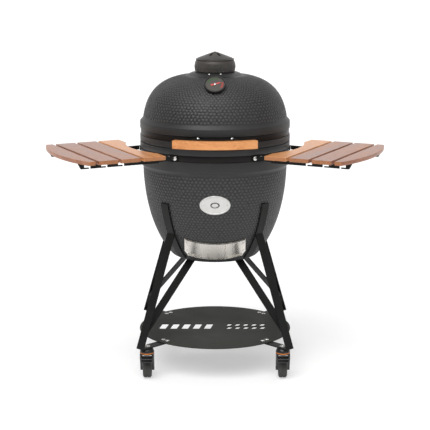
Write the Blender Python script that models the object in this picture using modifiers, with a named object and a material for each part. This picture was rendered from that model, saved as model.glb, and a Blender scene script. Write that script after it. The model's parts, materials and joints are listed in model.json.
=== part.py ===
"""Kamado ceramic grill on a four-leg trolley, with two folding side tables.

Run with: blender --background --python part.py
Units are metres, +Z is up and the front of the grill faces -Y.
"""
from math import acos, asin, atan, cos, pi, radians, sin, sqrt

import bmesh
import bpy
from mathutils import Matrix, Vector

# Fits
GAP = 0.0003               # between pieces that touch
RUN = 0.0006               # between pieces that slide or turn on each other
BEND_PLAY = 0.0007         # between bent pieces whose facets don't line up
ARM_PLAY = 0.0008          # between the egg and the arms that cradle it
SEGMENTS = 40              # facets round every turned piece of the egg

# The egg's outer outline: one bulge below its waist and one above it
BASE_BOTTOM = 0.423        # height of the flat underside
BASE_HEIGHT = 0.435        # from the underside to the seam
BASE_RADIUS = 0.2691       # at the widest place of the base
BASE_WAIST_DROP = 0.069    # the widest place below the seam
BASE_CUT = 0.0731          # how far the bulge would run on below the flat underside
BASE_POWER = 2.163
DOME_PROUD = 0.0038        # how much wider the dome is than the base
DOME_WAIST_DROP = 0.0297
DOME_RISE = 0.2745
DOME_POWER = 3.286
WALL = 0.025               # ceramic wall
FLOOR = 0.030              # ceramic floor

# The rims, bands and felt where lid and base meet
FELT = 0.003
FELT_INSET = 0.006         # felt back from the inside edge of the rim
FELT_EDGE = 0.003          # and from its outside edge
LIP = 0.0215               # height of each lip beside the seam
BAND = 0.0235              # height of each steel band
LID_RIM = 0.038            # height of the lid's rim with its chamfer
BASE_RIM = 0.050           # height of the base's rim with its chamfer
RIM_CHAMFER = 0.012
RIM_PROUD = 0.0112         # how far the rims stand out from the base
BAND_GROOVE = 0.0051       # depth of the groove that holds a band
BAND_THICKNESS = 0.0018
BAND_PLAY = 0.0005

# Chimney neck and vent cap
NECK_RISE = 0.0072         # top of the neck above the top of the dome's curve
NECK_WALL = 0.033
NECK_CHAMFER = (0.010, 0.004)
NECK_FLARE = 0.022         # where the neck's slope runs into the dome
CHIMNEY_RADIUS = 0.050
CAP_SETBACK = 0.0065       # the collar back from the neck's edge
CAP_FOOT = 0.004           # height of the dark joint under the collar
CAP_HEIGHT = 0.041         # height of the collar
CAP_ROOF = 0.030           # height of the pointed roof
CAP_WALL = 0.010
CAP_TOP = 0.003            # thickness of the collar's slotted top
CAP_EDGE = 0.002           # how much the collar narrows at its top and foot
CAP_SHOULDER = 0.010       # depth of its sloping shoulder
CAP_WIDEST = 0.024         # its widest place, below its top
CAP_JOINT = 0.005          # how far the dark joint stands back
ROOF_SETBACK = 0.005       # the roof's edge back from the collar's widest place
ROOF_WALL = 0.004
ROOF_EDGE = 0.003          # height of the roof's upright edge
ROOF_TIP = (0.008, 0.002)  # blunt point: its radius and fall
VENT_COUNT = 6
VENT_INNER = 0.016
VENT_OUTER = 0.038
VENT_WIDTH = 0.009

# Thermometer, set on the front of the dome
DIAL_INSET = 0.0829        # its stem in from the dome's widest place
DIAL_TILT = radians(50)    # how far its face looks up
DIAL_RADIUS = 0.039
DIAL_DEPTH = 0.012
DIAL_STANDOFF = 0.0055
DIAL_BEZEL = 0.0035
DIAL_RECESS = 0.003
STEM_RADIUS = 0.004
STEM_LENGTH = 0.070
STEM_PLAY = 0.001
DIAL_EDGE = 0.001
NEEDLE_TAIL = 0.010
NEEDLE_HALF = 0.0012
NEEDLE_CLEAR = 0.006       # between the needle's tip and the bezel
NEEDLE_REST = radians(20)  # its direction on the dial

# Handle on the lid
HANDLE_HEIGHT = 0.029
HANDLE_RISE = 0.0252       # its middle above the seam
HANDLE_STANDOFF = 0.0397   # its inner face from the rims
HANDLE_DEPTH = 0.023
HANDLE_SPAN = 0.293
HANDLE_ROUND = 0.005
BRACKET_STRIP = 0.005
BRACKET_HEIGHT = 0.019
BRACKET_ARM = radians(14.5)
BRACKET_FOOT = radians(3.2)
BRACKET_END = radians(19)
BRACKET_PAD = 0.003        # thickness of the bracket's feet

# Draft opening: its frame is bent about a leaning axis and follows the base
DRAFT_RISE = 0.048         # its middle above the underside
DRAFT_SPAN = radians(29)
DRAFT_FRAME = 0.076
DRAFT_PLATE = 0.0025
DRAFT_RAIL = 0.0055
DRAFT_RAIL_PROUD = 0.004
DRAFT_RAIL_SPAN = DRAFT_SPAN - radians(0.9)
DRAFT_SEAT_PLAY = 0.002
DRAFT_CORNER = 0.012
WINDOW_FROM = radians(-18.5)
WINDOW_TO = radians(8)
WINDOW_HEIGHT = 0.046
WINDOW_STEP = 0.002        # each layer's hole is this much larger than the one outside it
DOOR_OVERLAP = radians(1.5)
DOOR_THICKNESS = 0.0015
DOOR_PULL = 0.010

# Badge plate
BADGE_WIDTH = 0.113
BADGE_TALL = 0.072
BADGE_DROP = 0.2036        # its middle below the seam
BADGE_THICKNESS = 0.003
BADGE_POINTS = 32

# Inside the base
FIREBOX_PLAY = 0.006
FIREBOX_WALL = 0.018
LEDGE_HEIGHT = 0.060       # the charcoal grate's ledge above the floor
RING_WALL = 0.016
RING_HEIGHT = 0.135
RING_DROP = 0.068          # top of the ring below the seam
GRATE_PLAY = 0.006
CHARCOAL_GRATE = 0.008
COOKING_GRATE = 0.006
GRATE_BAR = 0.006
GRATE_SLOT = 0.016
GRATE_RIM = 0.012

# Trolley: four leg units of flat strap
STRAP_WIDTH = 0.037
STRAP = 0.005
ARM_LENGTH = 0.217         # the cradle arms' rise
ARM_LIFT = 0.007           # their lower ends above the underside
FOOT_REACH = 0.3863        # the post's middle at the shelf arm
POST_SLOPE = 0.3874        # inward travel of the post for each metre of rise
SHELF_HOLD = 0.055         # how far the shelf lies over each shelf arm
STRUT_DROP = 0.975         # fall of the strut for each metre outwards
UNDER_RING_INNER = 0.096
UNDER_RING_OUTER = 0.150
SHELF_RADIUS = 0.290
SHELF_THICKNESS = 0.003

# Slots across the shelf
SLOT_SLANT = 0.012
BIG_SLOT = (0.026, 0.066)
SMALL_SLOT = (0.018, 0.026)
SLOT_PITCH = 0.043
SMALL_PITCH = 0.032
SLOT_START = -0.197
SMALL_START = 0.055
SMALL_ROW = 0.021
SLOT_COUNT = 5

# Casters
CASTER_INSET = 0.032       # swivel axis in from the foot of the post
CASTER_TRAIL = 0.018
HOUSING_RADIUS = 0.0265
HOUSING_HEIGHT = 0.0235
HOUSING_CHAMFER = (0.004, 0.006)
WHEEL_RADIUS = 0.0375
WHEEL_ROOM = 0.0202        # free height over a wheel
WHEEL_WIDTH = 0.032
WHEEL_CHAMFER = 0.006
AXLE_RADIUS = 0.004
AXLE_PROUD = 0.001         # axle ends beyond the housing's sides
FORK_PLATE = 0.004
FORK_INSET = 0.0008        # the fork's cheeks back from the housing's sides
FORK_END = 0.0105
FORK_ROOT = 0.005          # how far the cheeks run up into the housing
FORK_FRONT = 0.007         # the cheeks' front edge ahead of the brake's pivot
FORK_CORNER = 0.012
LEVER_THICKNESS = 0.003
LEVER_LENGTH = 0.028
LEVER_PIVOT = 0.014        # ahead of the swivel axis
LEVER_DROP = 0.007         # below the housing

# Side tables
TABLE_SWEEP = radians(26.15)
SLAT_DROP = 0.0123         # the tables' top below the seam
SLAT_THICKNESS = 0.014
SLAT_LENGTH = 0.440
SLAT_PITCH = 0.0848
SLAT_GAP = 0.012
SLAT_COUNT = 4
FIRST_SLAT = 0.0888        # width of the hollowed slat and half a gap
LAST_SLAT = 0.072          # width of the rounded slat and half a gap
TABLE_HOLLOW = 0.029       # the hollowed edge's arc beyond the fold pin
TABLE_BRACKET = 0.005
TABLE_BRACKET_HEIGHT = 0.0214
TABLE_BRACKET_INSET = 0.070
TABLE_BRACKET_SHORT = 0.0068
TABLE_BRACKET_NOSE = 0.006 # iron left round the fold pin
TABLE_BRACKET_CORNER = 0.004
SLAT_EDGE = 0.0015
BRACKET_SLANT = 0.012
HOOK_COUNT = 3
HOOK_FIRST = 0.045         # the outermost hook's mouth from the bracket's end
HOOK_PITCH = 0.0635
HOOK_MOUTH = 0.0066
HOOK_LENGTH = 0.024
HOOK_LIP = 0.0045
HOOK_HEIGHT = 0.009
FOLD_STANDOFF = 0.0257     # pin out from the rims
FOLD_INSET = 0.0054        # pin in from the first slat's edge
FOLD_DROP = 0.0109         # pin below the slats
FOLD_PIN = 0.004
LUG_THICKNESS = 0.005
LUG_FOOT = radians(4.5)
LUG_HEIGHT = 0.017
LUG_EYE = 0.0085
LUG_EDGE = 0.001
PIN_OVERLAP = 0.002        # how far a pin runs on into the piece that holds it

# Lid hinge at the back
HINGE_STANDOFF = 0.0377    # pin out from the rims
HINGE_PIN = 0.004
HINGE_EYE = 0.010
HINGE_WIDTH = 0.047
HINGE_EAR = 0.006
HINGE_FOOT_WIDTH = 0.090
HINGE_FOOT = 0.0045
HINGE_EDGE = 0.003         # the hinge plates back from the bands' edges
HINGE_EAR_EYE = 0.009
HINGE_PIN_PROUD = 0.006    # pin ends beyond the ears

# Heights and radii that follow
SEAM = BASE_BOTTOM + BASE_HEIGHT
BASE_WAIST = SEAM - BASE_WAIST_DROP
BASE_DROP = BASE_WAIST - BASE_BOTTOM + BASE_CUT
DOME_WAIST = SEAM - DOME_WAIST_DROP
DOME_RADIUS = BASE_RADIUS + DOME_PROUD
RIM_RADIUS = BASE_RADIUS + RIM_PROUD
BAND_SEAT = RIM_RADIUS - BAND_GROOVE
BAND_OUTER = BAND_SEAT + BAND_PLAY + BAND_THICKNESS
LID_BOTTOM = SEAM + FELT / 2 + GAP
BASE_TOP = SEAM - FELT / 2 - GAP
LID_BAND_BOTTOM = LID_BOTTOM + LIP
LID_BAND_TOP = LID_BAND_BOTTOM + BAND
LID_RIM_TOP = LID_BAND_TOP + LID_RIM
BASE_BAND_TOP = BASE_TOP - LIP
BASE_BAND_BOTTOM = BASE_BAND_TOP - BAND
BASE_RIM_BOTTOM = BASE_BAND_BOTTOM - BASE_RIM
NECK_TOP = DOME_WAIST + DOME_RISE + NECK_RISE
NECK_RADIUS = CHIMNEY_RADIUS + NECK_WALL
CAP_RADIUS = NECK_RADIUS - CAP_SETBACK
ROOF_EAVE = CAP_RADIUS - ROOF_SETBACK
COLLAR_TOP = NECK_TOP + CAP_FOOT + CAP_HEIGHT
DIAL_REACH = DOME_RADIUS - DIAL_INSET
HANDLE_MIDDLE = SEAM + HANDLE_RISE
HANDLE_INNER = RIM_RADIUS + HANDLE_STANDOFF
HINGE_REACH = RIM_RADIUS + HINGE_STANDOFF
DRAFT_HEIGHT = BASE_BOTTOM + DRAFT_RISE
BADGE_HEIGHT = SEAM - BADGE_DROP
FIREBOX_BOTTOM = BASE_BOTTOM + FLOOR + GAP
LEDGE = FIREBOX_BOTTOM + LEDGE_HEIGHT
RING_TOP = SEAM - RING_DROP
FIREBOX_TOP = RING_TOP - RING_HEIGHT

# The trolley and casters, from the floor up
HOUSING_BOTTOM = 2 * WHEEL_RADIUS + WHEEL_ROOM
HOUSING_TOP = HOUSING_BOTTOM + HOUSING_HEIGHT
SHELF_ARM_TOP = HOUSING_TOP + GAP + STRAP
SHELF_BOTTOM = SHELF_ARM_TOP + GAP
SHELF_ARM_REACH = SHELF_RADIUS - SHELF_HOLD
CASTER_REACH = FOOT_REACH - CASTER_INSET
FORK_INNER = HOUSING_RADIUS - FORK_PLATE - FORK_INSET
ARM_BOTTOM = BASE_BOTTOM + ARM_LIFT
ARM_TOP = ARM_BOTTOM + ARM_LENGTH
STRUT_REACH = (UNDER_RING_INNER + UNDER_RING_OUTER) / 2

# The tables, outwards from the egg
SLAT_TOP = SEAM - SLAT_DROP
SLAT_BOTTOM = SLAT_TOP - SLAT_THICKNESS
FOLD_HEIGHT = SLAT_BOTTOM - FOLD_DROP
FOLD_REACH = RIM_RADIUS + FOLD_STANDOFF
TABLE_START = FOLD_REACH - FOLD_INSET
TABLE_ROUND_INNER = FOLD_REACH + TABLE_HOLLOW
FIRST_GAP = TABLE_START + FIRST_SLAT
TABLE_ROUND_OUTER = FIRST_GAP + (SLAT_COUNT - 2) * SLAT_PITCH + LAST_SLAT
TABLE_BRACKET_OFFSET = SLAT_LENGTH / 2 - TABLE_BRACKET_INSET
TABLE_BRACKET_REACH = sqrt(TABLE_ROUND_OUTER ** 2 - TABLE_BRACKET_OFFSET ** 2)
TABLE_BRACKET_END = TABLE_BRACKET_REACH - TABLE_BRACKET_SHORT

LEGS = {"front_left": radians(225), "front_right": radians(315),
        "rear_left": radians(135), "rear_right": radians(45)}
TABLES = {"left": pi + TABLE_SWEEP, "right": -TABLE_SWEEP}
TABLE_ENDS = {"left": {"front": 1, "rear": -1}, "right": {"front": -1, "rear": 1}}

# The reach of the whole object fore and aft sets the origin's place
TABLE_CORNER = sqrt(TABLE_ROUND_OUTER ** 2 - (SLAT_LENGTH / 2) ** 2)
FRONT_REACH = TABLE_CORNER * sin(TABLE_SWEEP) + SLAT_LENGTH / 2 * cos(TABLE_SWEEP)
REAR_REACH = HINGE_REACH + HINGE_EYE
AXIS_PLACE = (FRONT_REACH - REAR_REACH) / 2


def clear_scene():
    for item in list(bpy.data.objects):
        bpy.data.objects.remove(item, do_unlink=True)


def new_collection(name):
    group = bpy.data.collections.new(name)
    bpy.context.scene.collection.children.link(group)
    return group


def material(name, colour, roughness, metallic=0.0):
    finish = bpy.data.materials.new(name)
    finish.use_nodes = True
    shader = finish.node_tree.nodes["Principled BSDF"]
    shader.inputs["Base Color"].default_value = (*colour, 1.0)
    shader.inputs["Roughness"].default_value = roughness
    shader.inputs["Metallic"].default_value = metallic
    finish.diffuse_color = (*colour, 1.0)
    return finish


def pivot(name, place, turn=(0, 0, 0), parent=None):
    empty = bpy.data.objects.new(name, None)
    empty.location = place
    empty.rotation_euler = turn
    empty.empty_display_size = 0.03
    empty.parent = parent
    PARTS.objects.link(empty)
    return empty


def place_part(part, finish, parent, place=(0, 0, 0), turn=(0, 0, 0)):
    part.data.materials.clear()
    part.data.materials.append(finish)
    part.location = place
    part.rotation_euler = turn
    part.parent = parent
    return part


def smooth_round(part):
    part.data.shade_smooth()
    part.data.set_sharp_from_angle(angle=radians(35))


def mesh_object(name, mesh, group):
    part = bpy.data.objects.new(name, mesh)
    group.objects.link(part)
    return part


def turned(name, profile, closed=True, group=None, steps=SEGMENTS):
    """Turn a profile about Z. It runs down the outer side and back up the inner one."""
    mesh = bpy.data.meshes.new(name)
    points = [(radius, 0.0, height) for radius, height in profile]
    edges = [(i, i + 1) for i in range(len(points) - 1)]
    if closed:
        edges.append((len(points) - 1, 0))
    mesh.from_pydata(points, edges, [])
    part = mesh_object(name, mesh, group or PARTS)
    screw = part.modifiers.new("turn", "SCREW")
    screw.axis = "Z"
    screw.angle = 2 * pi
    screw.steps = steps
    screw.render_steps = steps
    screw.use_merge_vertices = True
    screw.merge_threshold = 0.00001
    screw.use_smooth_shade = True
    return part


def flat(name, outlines, thickness, group=None):
    """A flat plate from closed outlines in XY; outlines inside the first are holes."""
    curve = bpy.data.curves.new(name, "CURVE")
    curve.dimensions = "2D"
    curve.fill_mode = "BOTH"
    curve.extrude = thickness / 2
    for outline in outlines:
        spline = curve.splines.new("POLY")
        spline.points.add(len(outline) - 1)
        for point, (x, y) in zip(spline.points, outline):
            point.co = (x, y, 0.0, 1.0)
        spline.use_cyclic_u = True
    part = bpy.data.objects.new(name, curve)
    (group or PARTS).objects.link(part)
    return part


def as_mesh(curve_part):
    """Make a curve object a welded mesh, so that it can be cut, joined or bevelled."""
    bpy.context.view_layer.update()
    scene_view = bpy.context.evaluated_depsgraph_get()
    mesh = bpy.data.meshes.new_from_object(curve_part.evaluated_get(scene_view))
    shape = bmesh.new()
    shape.from_mesh(mesh)
    bmesh.ops.remove_doubles(shape, verts=shape.verts, dist=0.00002)
    shape.to_mesh(mesh)
    shape.free()
    name = curve_part.name
    group = curve_part.users_collection[0]
    world = curve_part.matrix_world.copy()
    bpy.data.objects.remove(curve_part, do_unlink=True)
    part = mesh_object(name, mesh, group)
    part.matrix_world = world
    return part


def box(name, size, group=None):
    mesh = bpy.data.meshes.new(name)
    shape = bmesh.new()
    bmesh.ops.create_cube(shape, size=1.0)
    bmesh.ops.scale(shape, vec=Vector(size), verts=shape.verts)
    shape.to_mesh(mesh)
    shape.free()
    return mesh_object(name, mesh, group or PARTS)


def rod(name, radius, length, group=None, segments=16):
    mesh = bpy.data.meshes.new(name)
    shape = bmesh.new()
    bmesh.ops.create_cone(shape, cap_ends=True, segments=segments, radius1=radius,
                          radius2=radius, depth=length)
    shape.to_mesh(mesh)
    shape.free()
    return mesh_object(name, mesh, group or PARTS)


def combine(part, tool, operation):
    """Cut, join or intersect a part with a tool body that is kept out of the model."""
    tool.hide_render = True
    tool.display_type = "WIRE"
    step = part.modifiers.new(operation.lower(), "BOOLEAN")
    step.operation = operation
    step.solver = "EXACT"
    step.object = tool


def bevel(part, width, segments=2):
    step = part.modifiers.new("edges", "BEVEL")
    step.width = width
    step.segments = segments
    step.limit_method = "ANGLE"
    step.angle_limit = radians(50)


def arc(radius, start, end, steps, centre=(0.0, 0.0)):
    span = [start + (end - start) * i / steps for i in range(steps + 1)]
    return [(centre[0] + radius * cos(a), centre[1] + radius * sin(a)) for a in span]


def arc_band(inner, outer, start, end, steps):
    return arc(outer, start, end, steps) + arc(inner, end, start, steps)


def circle(radius, steps=SEGMENTS, centre=(0.0, 0.0)):
    return arc(radius, 0.0, 2 * pi, steps, centre)[:-1]


def crossing(point, direction, other, other_direction):
    """The place where two lines in a plane meet."""
    across = direction[0] * other_direction[1] - direction[1] * other_direction[0]
    dx = other[0] - point[0]
    dy = other[1] - point[1]
    along = (dx * other_direction[1] - dy * other_direction[0]) / across
    return (point[0] + along * direction[0], point[1] + along * direction[1])


def base_radius(height, inset=0.0):
    """The base's outer radius at a height, or that of a surface inside it."""
    fall = max(0.0, (BASE_WAIST - height) / (BASE_DROP - inset))
    return (BASE_RADIUS - inset) * (1 - fall ** BASE_POWER) ** (1 / BASE_POWER)


def dome_height(radius, inset=0.0):
    share = radius / (DOME_RADIUS - inset)
    return DOME_WAIST + (DOME_RISE - inset) * (1 - share ** DOME_POWER) ** (1 / DOME_POWER)


def dome_line(low, top_radius, steps, inset=0.0):
    """Points down the dome from a radius near its neck to a height near its rim."""
    first = acos((top_radius / (DOME_RADIUS - inset)) ** (DOME_POWER / 2))
    last = asin(((low - DOME_WAIST) / (DOME_RISE - inset)) ** (DOME_POWER / 2))
    points = []
    for i in range(steps + 1):
        angle = first + (last - first) * i / steps
        radius = (DOME_RADIUS - inset) * cos(angle) ** (2 / DOME_POWER)
        height = DOME_WAIST + (DOME_RISE - inset) * sin(angle) ** (2 / DOME_POWER)
        points.append((radius, height))
    return points


def base_line(top, bottom, steps, inset=0.0):
    heights = [top + (bottom - top) * sin(pi / 2 * i / steps) for i in range(steps + 1)]
    return [(base_radius(height, inset), height) for height in heights]


def base_steps(start, end, steps, inset):
    """Points on a surface beside the base, at even heights."""
    heights = [start + (end - start) * i / steps for i in range(steps + 1)]
    return [(base_radius(height, inset), height) for height in heights]


def base_lean(height):
    """How far the base's side leans out from upright at a height."""
    fall = (BASE_WAIST - height) / BASE_DROP
    slope = fall ** (BASE_POWER - 1) * (1 - fall ** BASE_POWER) ** (1 / BASE_POWER - 1)
    return atan(BASE_RADIUS / BASE_DROP * slope)


def front_arc(radius, start, end, steps):
    """An arc whose angle 0 looks out at the front."""
    return arc(radius, start - pi / 2, end - pi / 2, steps)


def front_band(inner, outer, start, end, steps):
    return front_arc(outer, start, end, steps) + front_arc(inner, end, start, steps)


def on_lid(part, finish, height=0.0, place=(0, 0, 0)):
    """Put a part on the lid, with its place given from the egg's axis and the ground."""
    home = (place[0], place[1] - HINGE_REACH, place[2] + height - SEAM)
    return place_part(part, finish, LID, home)


# Ceramic egg

def make_base_shell():
    inner = [(0.0, BASE_BOTTOM + FLOOR)]
    inner += base_line(BASE_WAIST, BASE_BOTTOM + FLOOR, 5, WALL)[::-1]
    inner.append((base_radius(BASE_WAIST, WALL), BASE_TOP))
    outer = [(RIM_RADIUS, BASE_TOP), (RIM_RADIUS, BASE_BAND_TOP),
             (BAND_SEAT, BASE_BAND_TOP), (BAND_SEAT, BASE_BAND_BOTTOM),
             (RIM_RADIUS, BASE_BAND_BOTTOM), (RIM_RADIUS, BASE_RIM_BOTTOM + RIM_CHAMFER)]
    outer += base_line(BASE_RIM_BOTTOM, BASE_BOTTOM, 9)
    outer.append((0.0, BASE_BOTTOM))
    shell = turned("base_shell", inner + outer, closed=False)
    place_part(shell, CERAMIC, GRILL)
    reach = DRAFT_SPAN + DRAFT_SEAT_PLAY / DRAFT_RADIUS
    seat_outline = front_band(DRAFT_RADIUS - GAP, DRAFT_RADIUS + WALL, -reach, reach, 14)
    tall = DRAFT_FRAME + 2 * DRAFT_SEAT_PLAY
    seat = as_mesh(flat("draft_seat", [seat_outline], tall, TOOLS))
    place_part(seat, CERAMIC, DRAFT_AXIS)
    combine(shell, seat, "DIFFERENCE")
    combine(shell, draft_hole("draft_hole", WINDOW_STEP), "DIFFERENCE")
    return shell


def draft_hole(name, play):
    """The hole that the draught takes through the ceramic, square to the frame."""
    middle = (WINDOW_FROM + WINDOW_TO) / 2
    width = 2 * DRAFT_RADIUS * sin((WINDOW_TO - WINDOW_FROM) / 2)
    hole = box(name, (width + play, DRAFT_RADIUS, WINDOW_HEIGHT + play), TOOLS)
    place_part(hole, CERAMIC, DRAFT_AXIS, (DRAFT_RADIUS * sin(middle), -DRAFT_RADIUS, 0.0))
    return hole


def make_lid_shell():
    top = [(CHIMNEY_RADIUS, NECK_TOP), (NECK_RADIUS, NECK_TOP),
           (NECK_RADIUS + NECK_CHAMFER[0], NECK_TOP - NECK_CHAMFER[1])]
    outer = dome_line(LID_RIM_TOP, NECK_RADIUS + NECK_FLARE, 8)
    rim = [(RIM_RADIUS, LID_RIM_TOP - RIM_CHAMFER), (RIM_RADIUS, LID_BAND_TOP),
           (BAND_SEAT, LID_BAND_TOP), (BAND_SEAT, LID_BAND_BOTTOM),
           (RIM_RADIUS, LID_BAND_BOTTOM), (RIM_RADIUS, LID_BOTTOM)]
    inner = dome_line(LID_BOTTOM, CHIMNEY_RADIUS, 6, WALL)[::-1]
    shell = turned("lid_shell", top + outer + rim + inner)
    on_lid(shell, CERAMIC)
    hole = rod("stem_hole", STEM_RADIUS + STEM_PLAY, 4 * WALL, TOOLS)
    place_part(hole, CERAMIC, DIAL)
    combine(shell, hole, "DIFFERENCE")


def ring(name, inner, outer, bottom, top):
    profile = [(inner, top), (outer, top), (outer, bottom), (inner, bottom)]
    return turned(name, profile)


def make_bands():
    inner = BAND_SEAT + BAND_PLAY
    base_band = ring("base_band", inner, BAND_OUTER, BASE_BAND_BOTTOM + BAND_PLAY,
                     BASE_BAND_TOP - BAND_PLAY)
    place_part(base_band, DARK_STEEL, GRILL)
    lid_band = ring("lid_band", inner, BAND_OUTER, LID_BAND_BOTTOM + BAND_PLAY,
                    LID_BAND_TOP - BAND_PLAY)
    on_lid(lid_band, DARK_STEEL)
    felt_inner = base_radius(BASE_WAIST, WALL) + FELT_INSET
    felt_outer = RIM_RADIUS - FELT_EDGE
    felt = ring("lid_gasket", felt_inner, felt_outer, SEAM - FELT / 2, SEAM + FELT / 2)
    on_lid(felt, FELT_GREY)


def slots_tool(name, height, parent, place, turn):
    """Six radial slot cutters in one tool body."""
    mesh = bpy.data.meshes.new(name)
    shape = bmesh.new()
    size = Vector((VENT_OUTER - VENT_INNER, VENT_WIDTH, height))
    reach = (VENT_INNER + VENT_OUTER) / 2
    for i in range(VENT_COUNT):
        block = bmesh.ops.create_cube(shape, size=1.0)["verts"]
        bmesh.ops.scale(shape, vec=size, verts=block)
        bmesh.ops.translate(shape, vec=(reach, 0, 0), verts=block)
        around = Matrix.Rotation(turn + 2 * pi * i / VENT_COUNT, 3, "Z")
        bmesh.ops.rotate(shape, cent=(0, 0, 0), matrix=around, verts=block)
    shape.to_mesh(mesh)
    shape.free()
    return place_part(mesh_object(name, mesh, TOOLS), CAST_IRON, parent, place)


def make_cap():
    bottom = NECK_TOP + GAP
    inner = CAP_RADIUS - CAP_WALL
    foot = NECK_TOP + CAP_FOOT
    narrow = CAP_RADIUS - CAP_EDGE
    joint = CAP_RADIUS - CAP_JOINT
    profile = [(0.0, COLLAR_TOP), (ROOF_EAVE - CAP_EDGE, COLLAR_TOP),
               (narrow, COLLAR_TOP - CAP_SHOULDER), (CAP_RADIUS, COLLAR_TOP - CAP_WIDEST),
               (narrow, foot), (joint, foot), (joint, bottom), (inner, bottom),
               (inner, COLLAR_TOP - CAP_TOP), (0.0, COLLAR_TOP - CAP_TOP)]
    collar = on_lid(turned("cap_collar", profile, closed=False), CAST_IRON)
    top = (0, -HINGE_REACH, COLLAR_TOP - SEAM)
    half_turn = pi / VENT_COUNT
    cutter = slots_tool("collar_slots", 4 * CAP_TOP, LID, top, half_turn)
    combine(collar, cutter, "DIFFERENCE")
    tip = (ROOF_TIP[0], CAP_ROOF - ROOF_TIP[1])
    roof_profile = [(0.0, CAP_ROOF), tip, (ROOF_EAVE, RUN + ROOF_EDGE), (ROOF_EAVE, RUN),
                    (ROOF_EAVE - ROOF_WALL, RUN), (0.0, tip[1] - ROOF_WALL)]
    roof = place_part(turned("cap_roof", roof_profile, closed=False), CAST_IRON, CAP)
    cutter = slots_tool("roof_slots", 4 * CAP_ROOF, CAP, (0, 0, 0), 0.0)
    combine(roof, cutter, "DIFFERENCE")


# Thermometer

def make_thermometer():
    front = DIAL_DEPTH
    face = DIAL_DEPTH - DIAL_RECESS
    window = DIAL_RADIUS - DIAL_BEZEL
    profile = [(0.0, face), (window, face), (window, front), (DIAL_RADIUS - DIAL_EDGE, front),
               (DIAL_RADIUS, front - DIAL_EDGE), (DIAL_RADIUS, 0.0), (STEM_RADIUS, 0.0),
               (STEM_RADIUS, -STEM_LENGTH), (0.0, -STEM_LENGTH)]
    case = turned("thermometer_case", profile, closed=False, steps=24)
    place_part(case, BLACK_STEEL, DIAL)
    tip = window - NEEDLE_CLEAR
    outline = [(-NEEDLE_TAIL, -NEEDLE_HALF), (tip * 0.8, -NEEDLE_HALF), (tip, 0.0),
               (tip * 0.8, NEEDLE_HALF), (-NEEDLE_TAIL, NEEDLE_HALF)]
    needle = flat("thermometer_needle", [outline], DIAL_RECESS / 3)
    height = face + RUN + DIAL_RECESS / 6
    place_part(needle, RED, DIAL, (0, 0, height), (0, 0, NEEDLE_REST))


# Handle

def make_handle():
    half = asin(HANDLE_SPAN / 2 / (HANDLE_INNER + HANDLE_DEPTH / 2))
    outline = front_band(HANDLE_INNER, HANDLE_INNER + HANDLE_DEPTH, -half, half, 12)
    bar = as_mesh(flat("handle_bar", [outline], HANDLE_HEIGHT))
    on_lid(bar, WOOD, HANDLE_MIDDLE)
    bevel(bar, HANDLE_ROUND, 2)
    strap_outer = HANDLE_INNER - BEND_PLAY
    strap_inner = strap_outer - BRACKET_STRIP
    foot_inner = BAND_OUTER + GAP
    foot_outer = foot_inner + BRACKET_PAD
    arm = BRACKET_STRIP / 2 / strap_inner
    outline = front_arc(strap_outer, -BRACKET_END, BRACKET_END, 10)
    outline += front_arc(strap_inner, BRACKET_END, BRACKET_ARM + arm, 1)
    outline += front_arc(foot_outer, BRACKET_ARM + arm, BRACKET_ARM + BRACKET_FOOT, 1)
    outline += front_arc(foot_inner, BRACKET_ARM + BRACKET_FOOT, BRACKET_ARM - BRACKET_FOOT, 3)
    outline += front_arc(foot_outer, BRACKET_ARM - BRACKET_FOOT, BRACKET_ARM - arm, 1)
    outline += front_arc(strap_inner, BRACKET_ARM - arm, -BRACKET_ARM + arm, 8)
    outline += front_arc(foot_outer, -BRACKET_ARM + arm, -BRACKET_ARM + BRACKET_FOOT, 1)
    outline += front_arc(foot_inner, -BRACKET_ARM + BRACKET_FOOT, -BRACKET_ARM - BRACKET_FOOT, 3)
    outline += front_arc(foot_outer, -BRACKET_ARM - BRACKET_FOOT, -BRACKET_ARM - arm, 1)
    outline += front_arc(strap_inner, -BRACKET_ARM - arm, -BRACKET_END, 1)
    bracket = flat("handle_bracket", [outline], BRACKET_HEIGHT)
    on_lid(bracket, BLACK_STEEL, (LID_BAND_BOTTOM + LID_BAND_TOP) / 2)


# Draft frame and its sliding door

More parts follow.
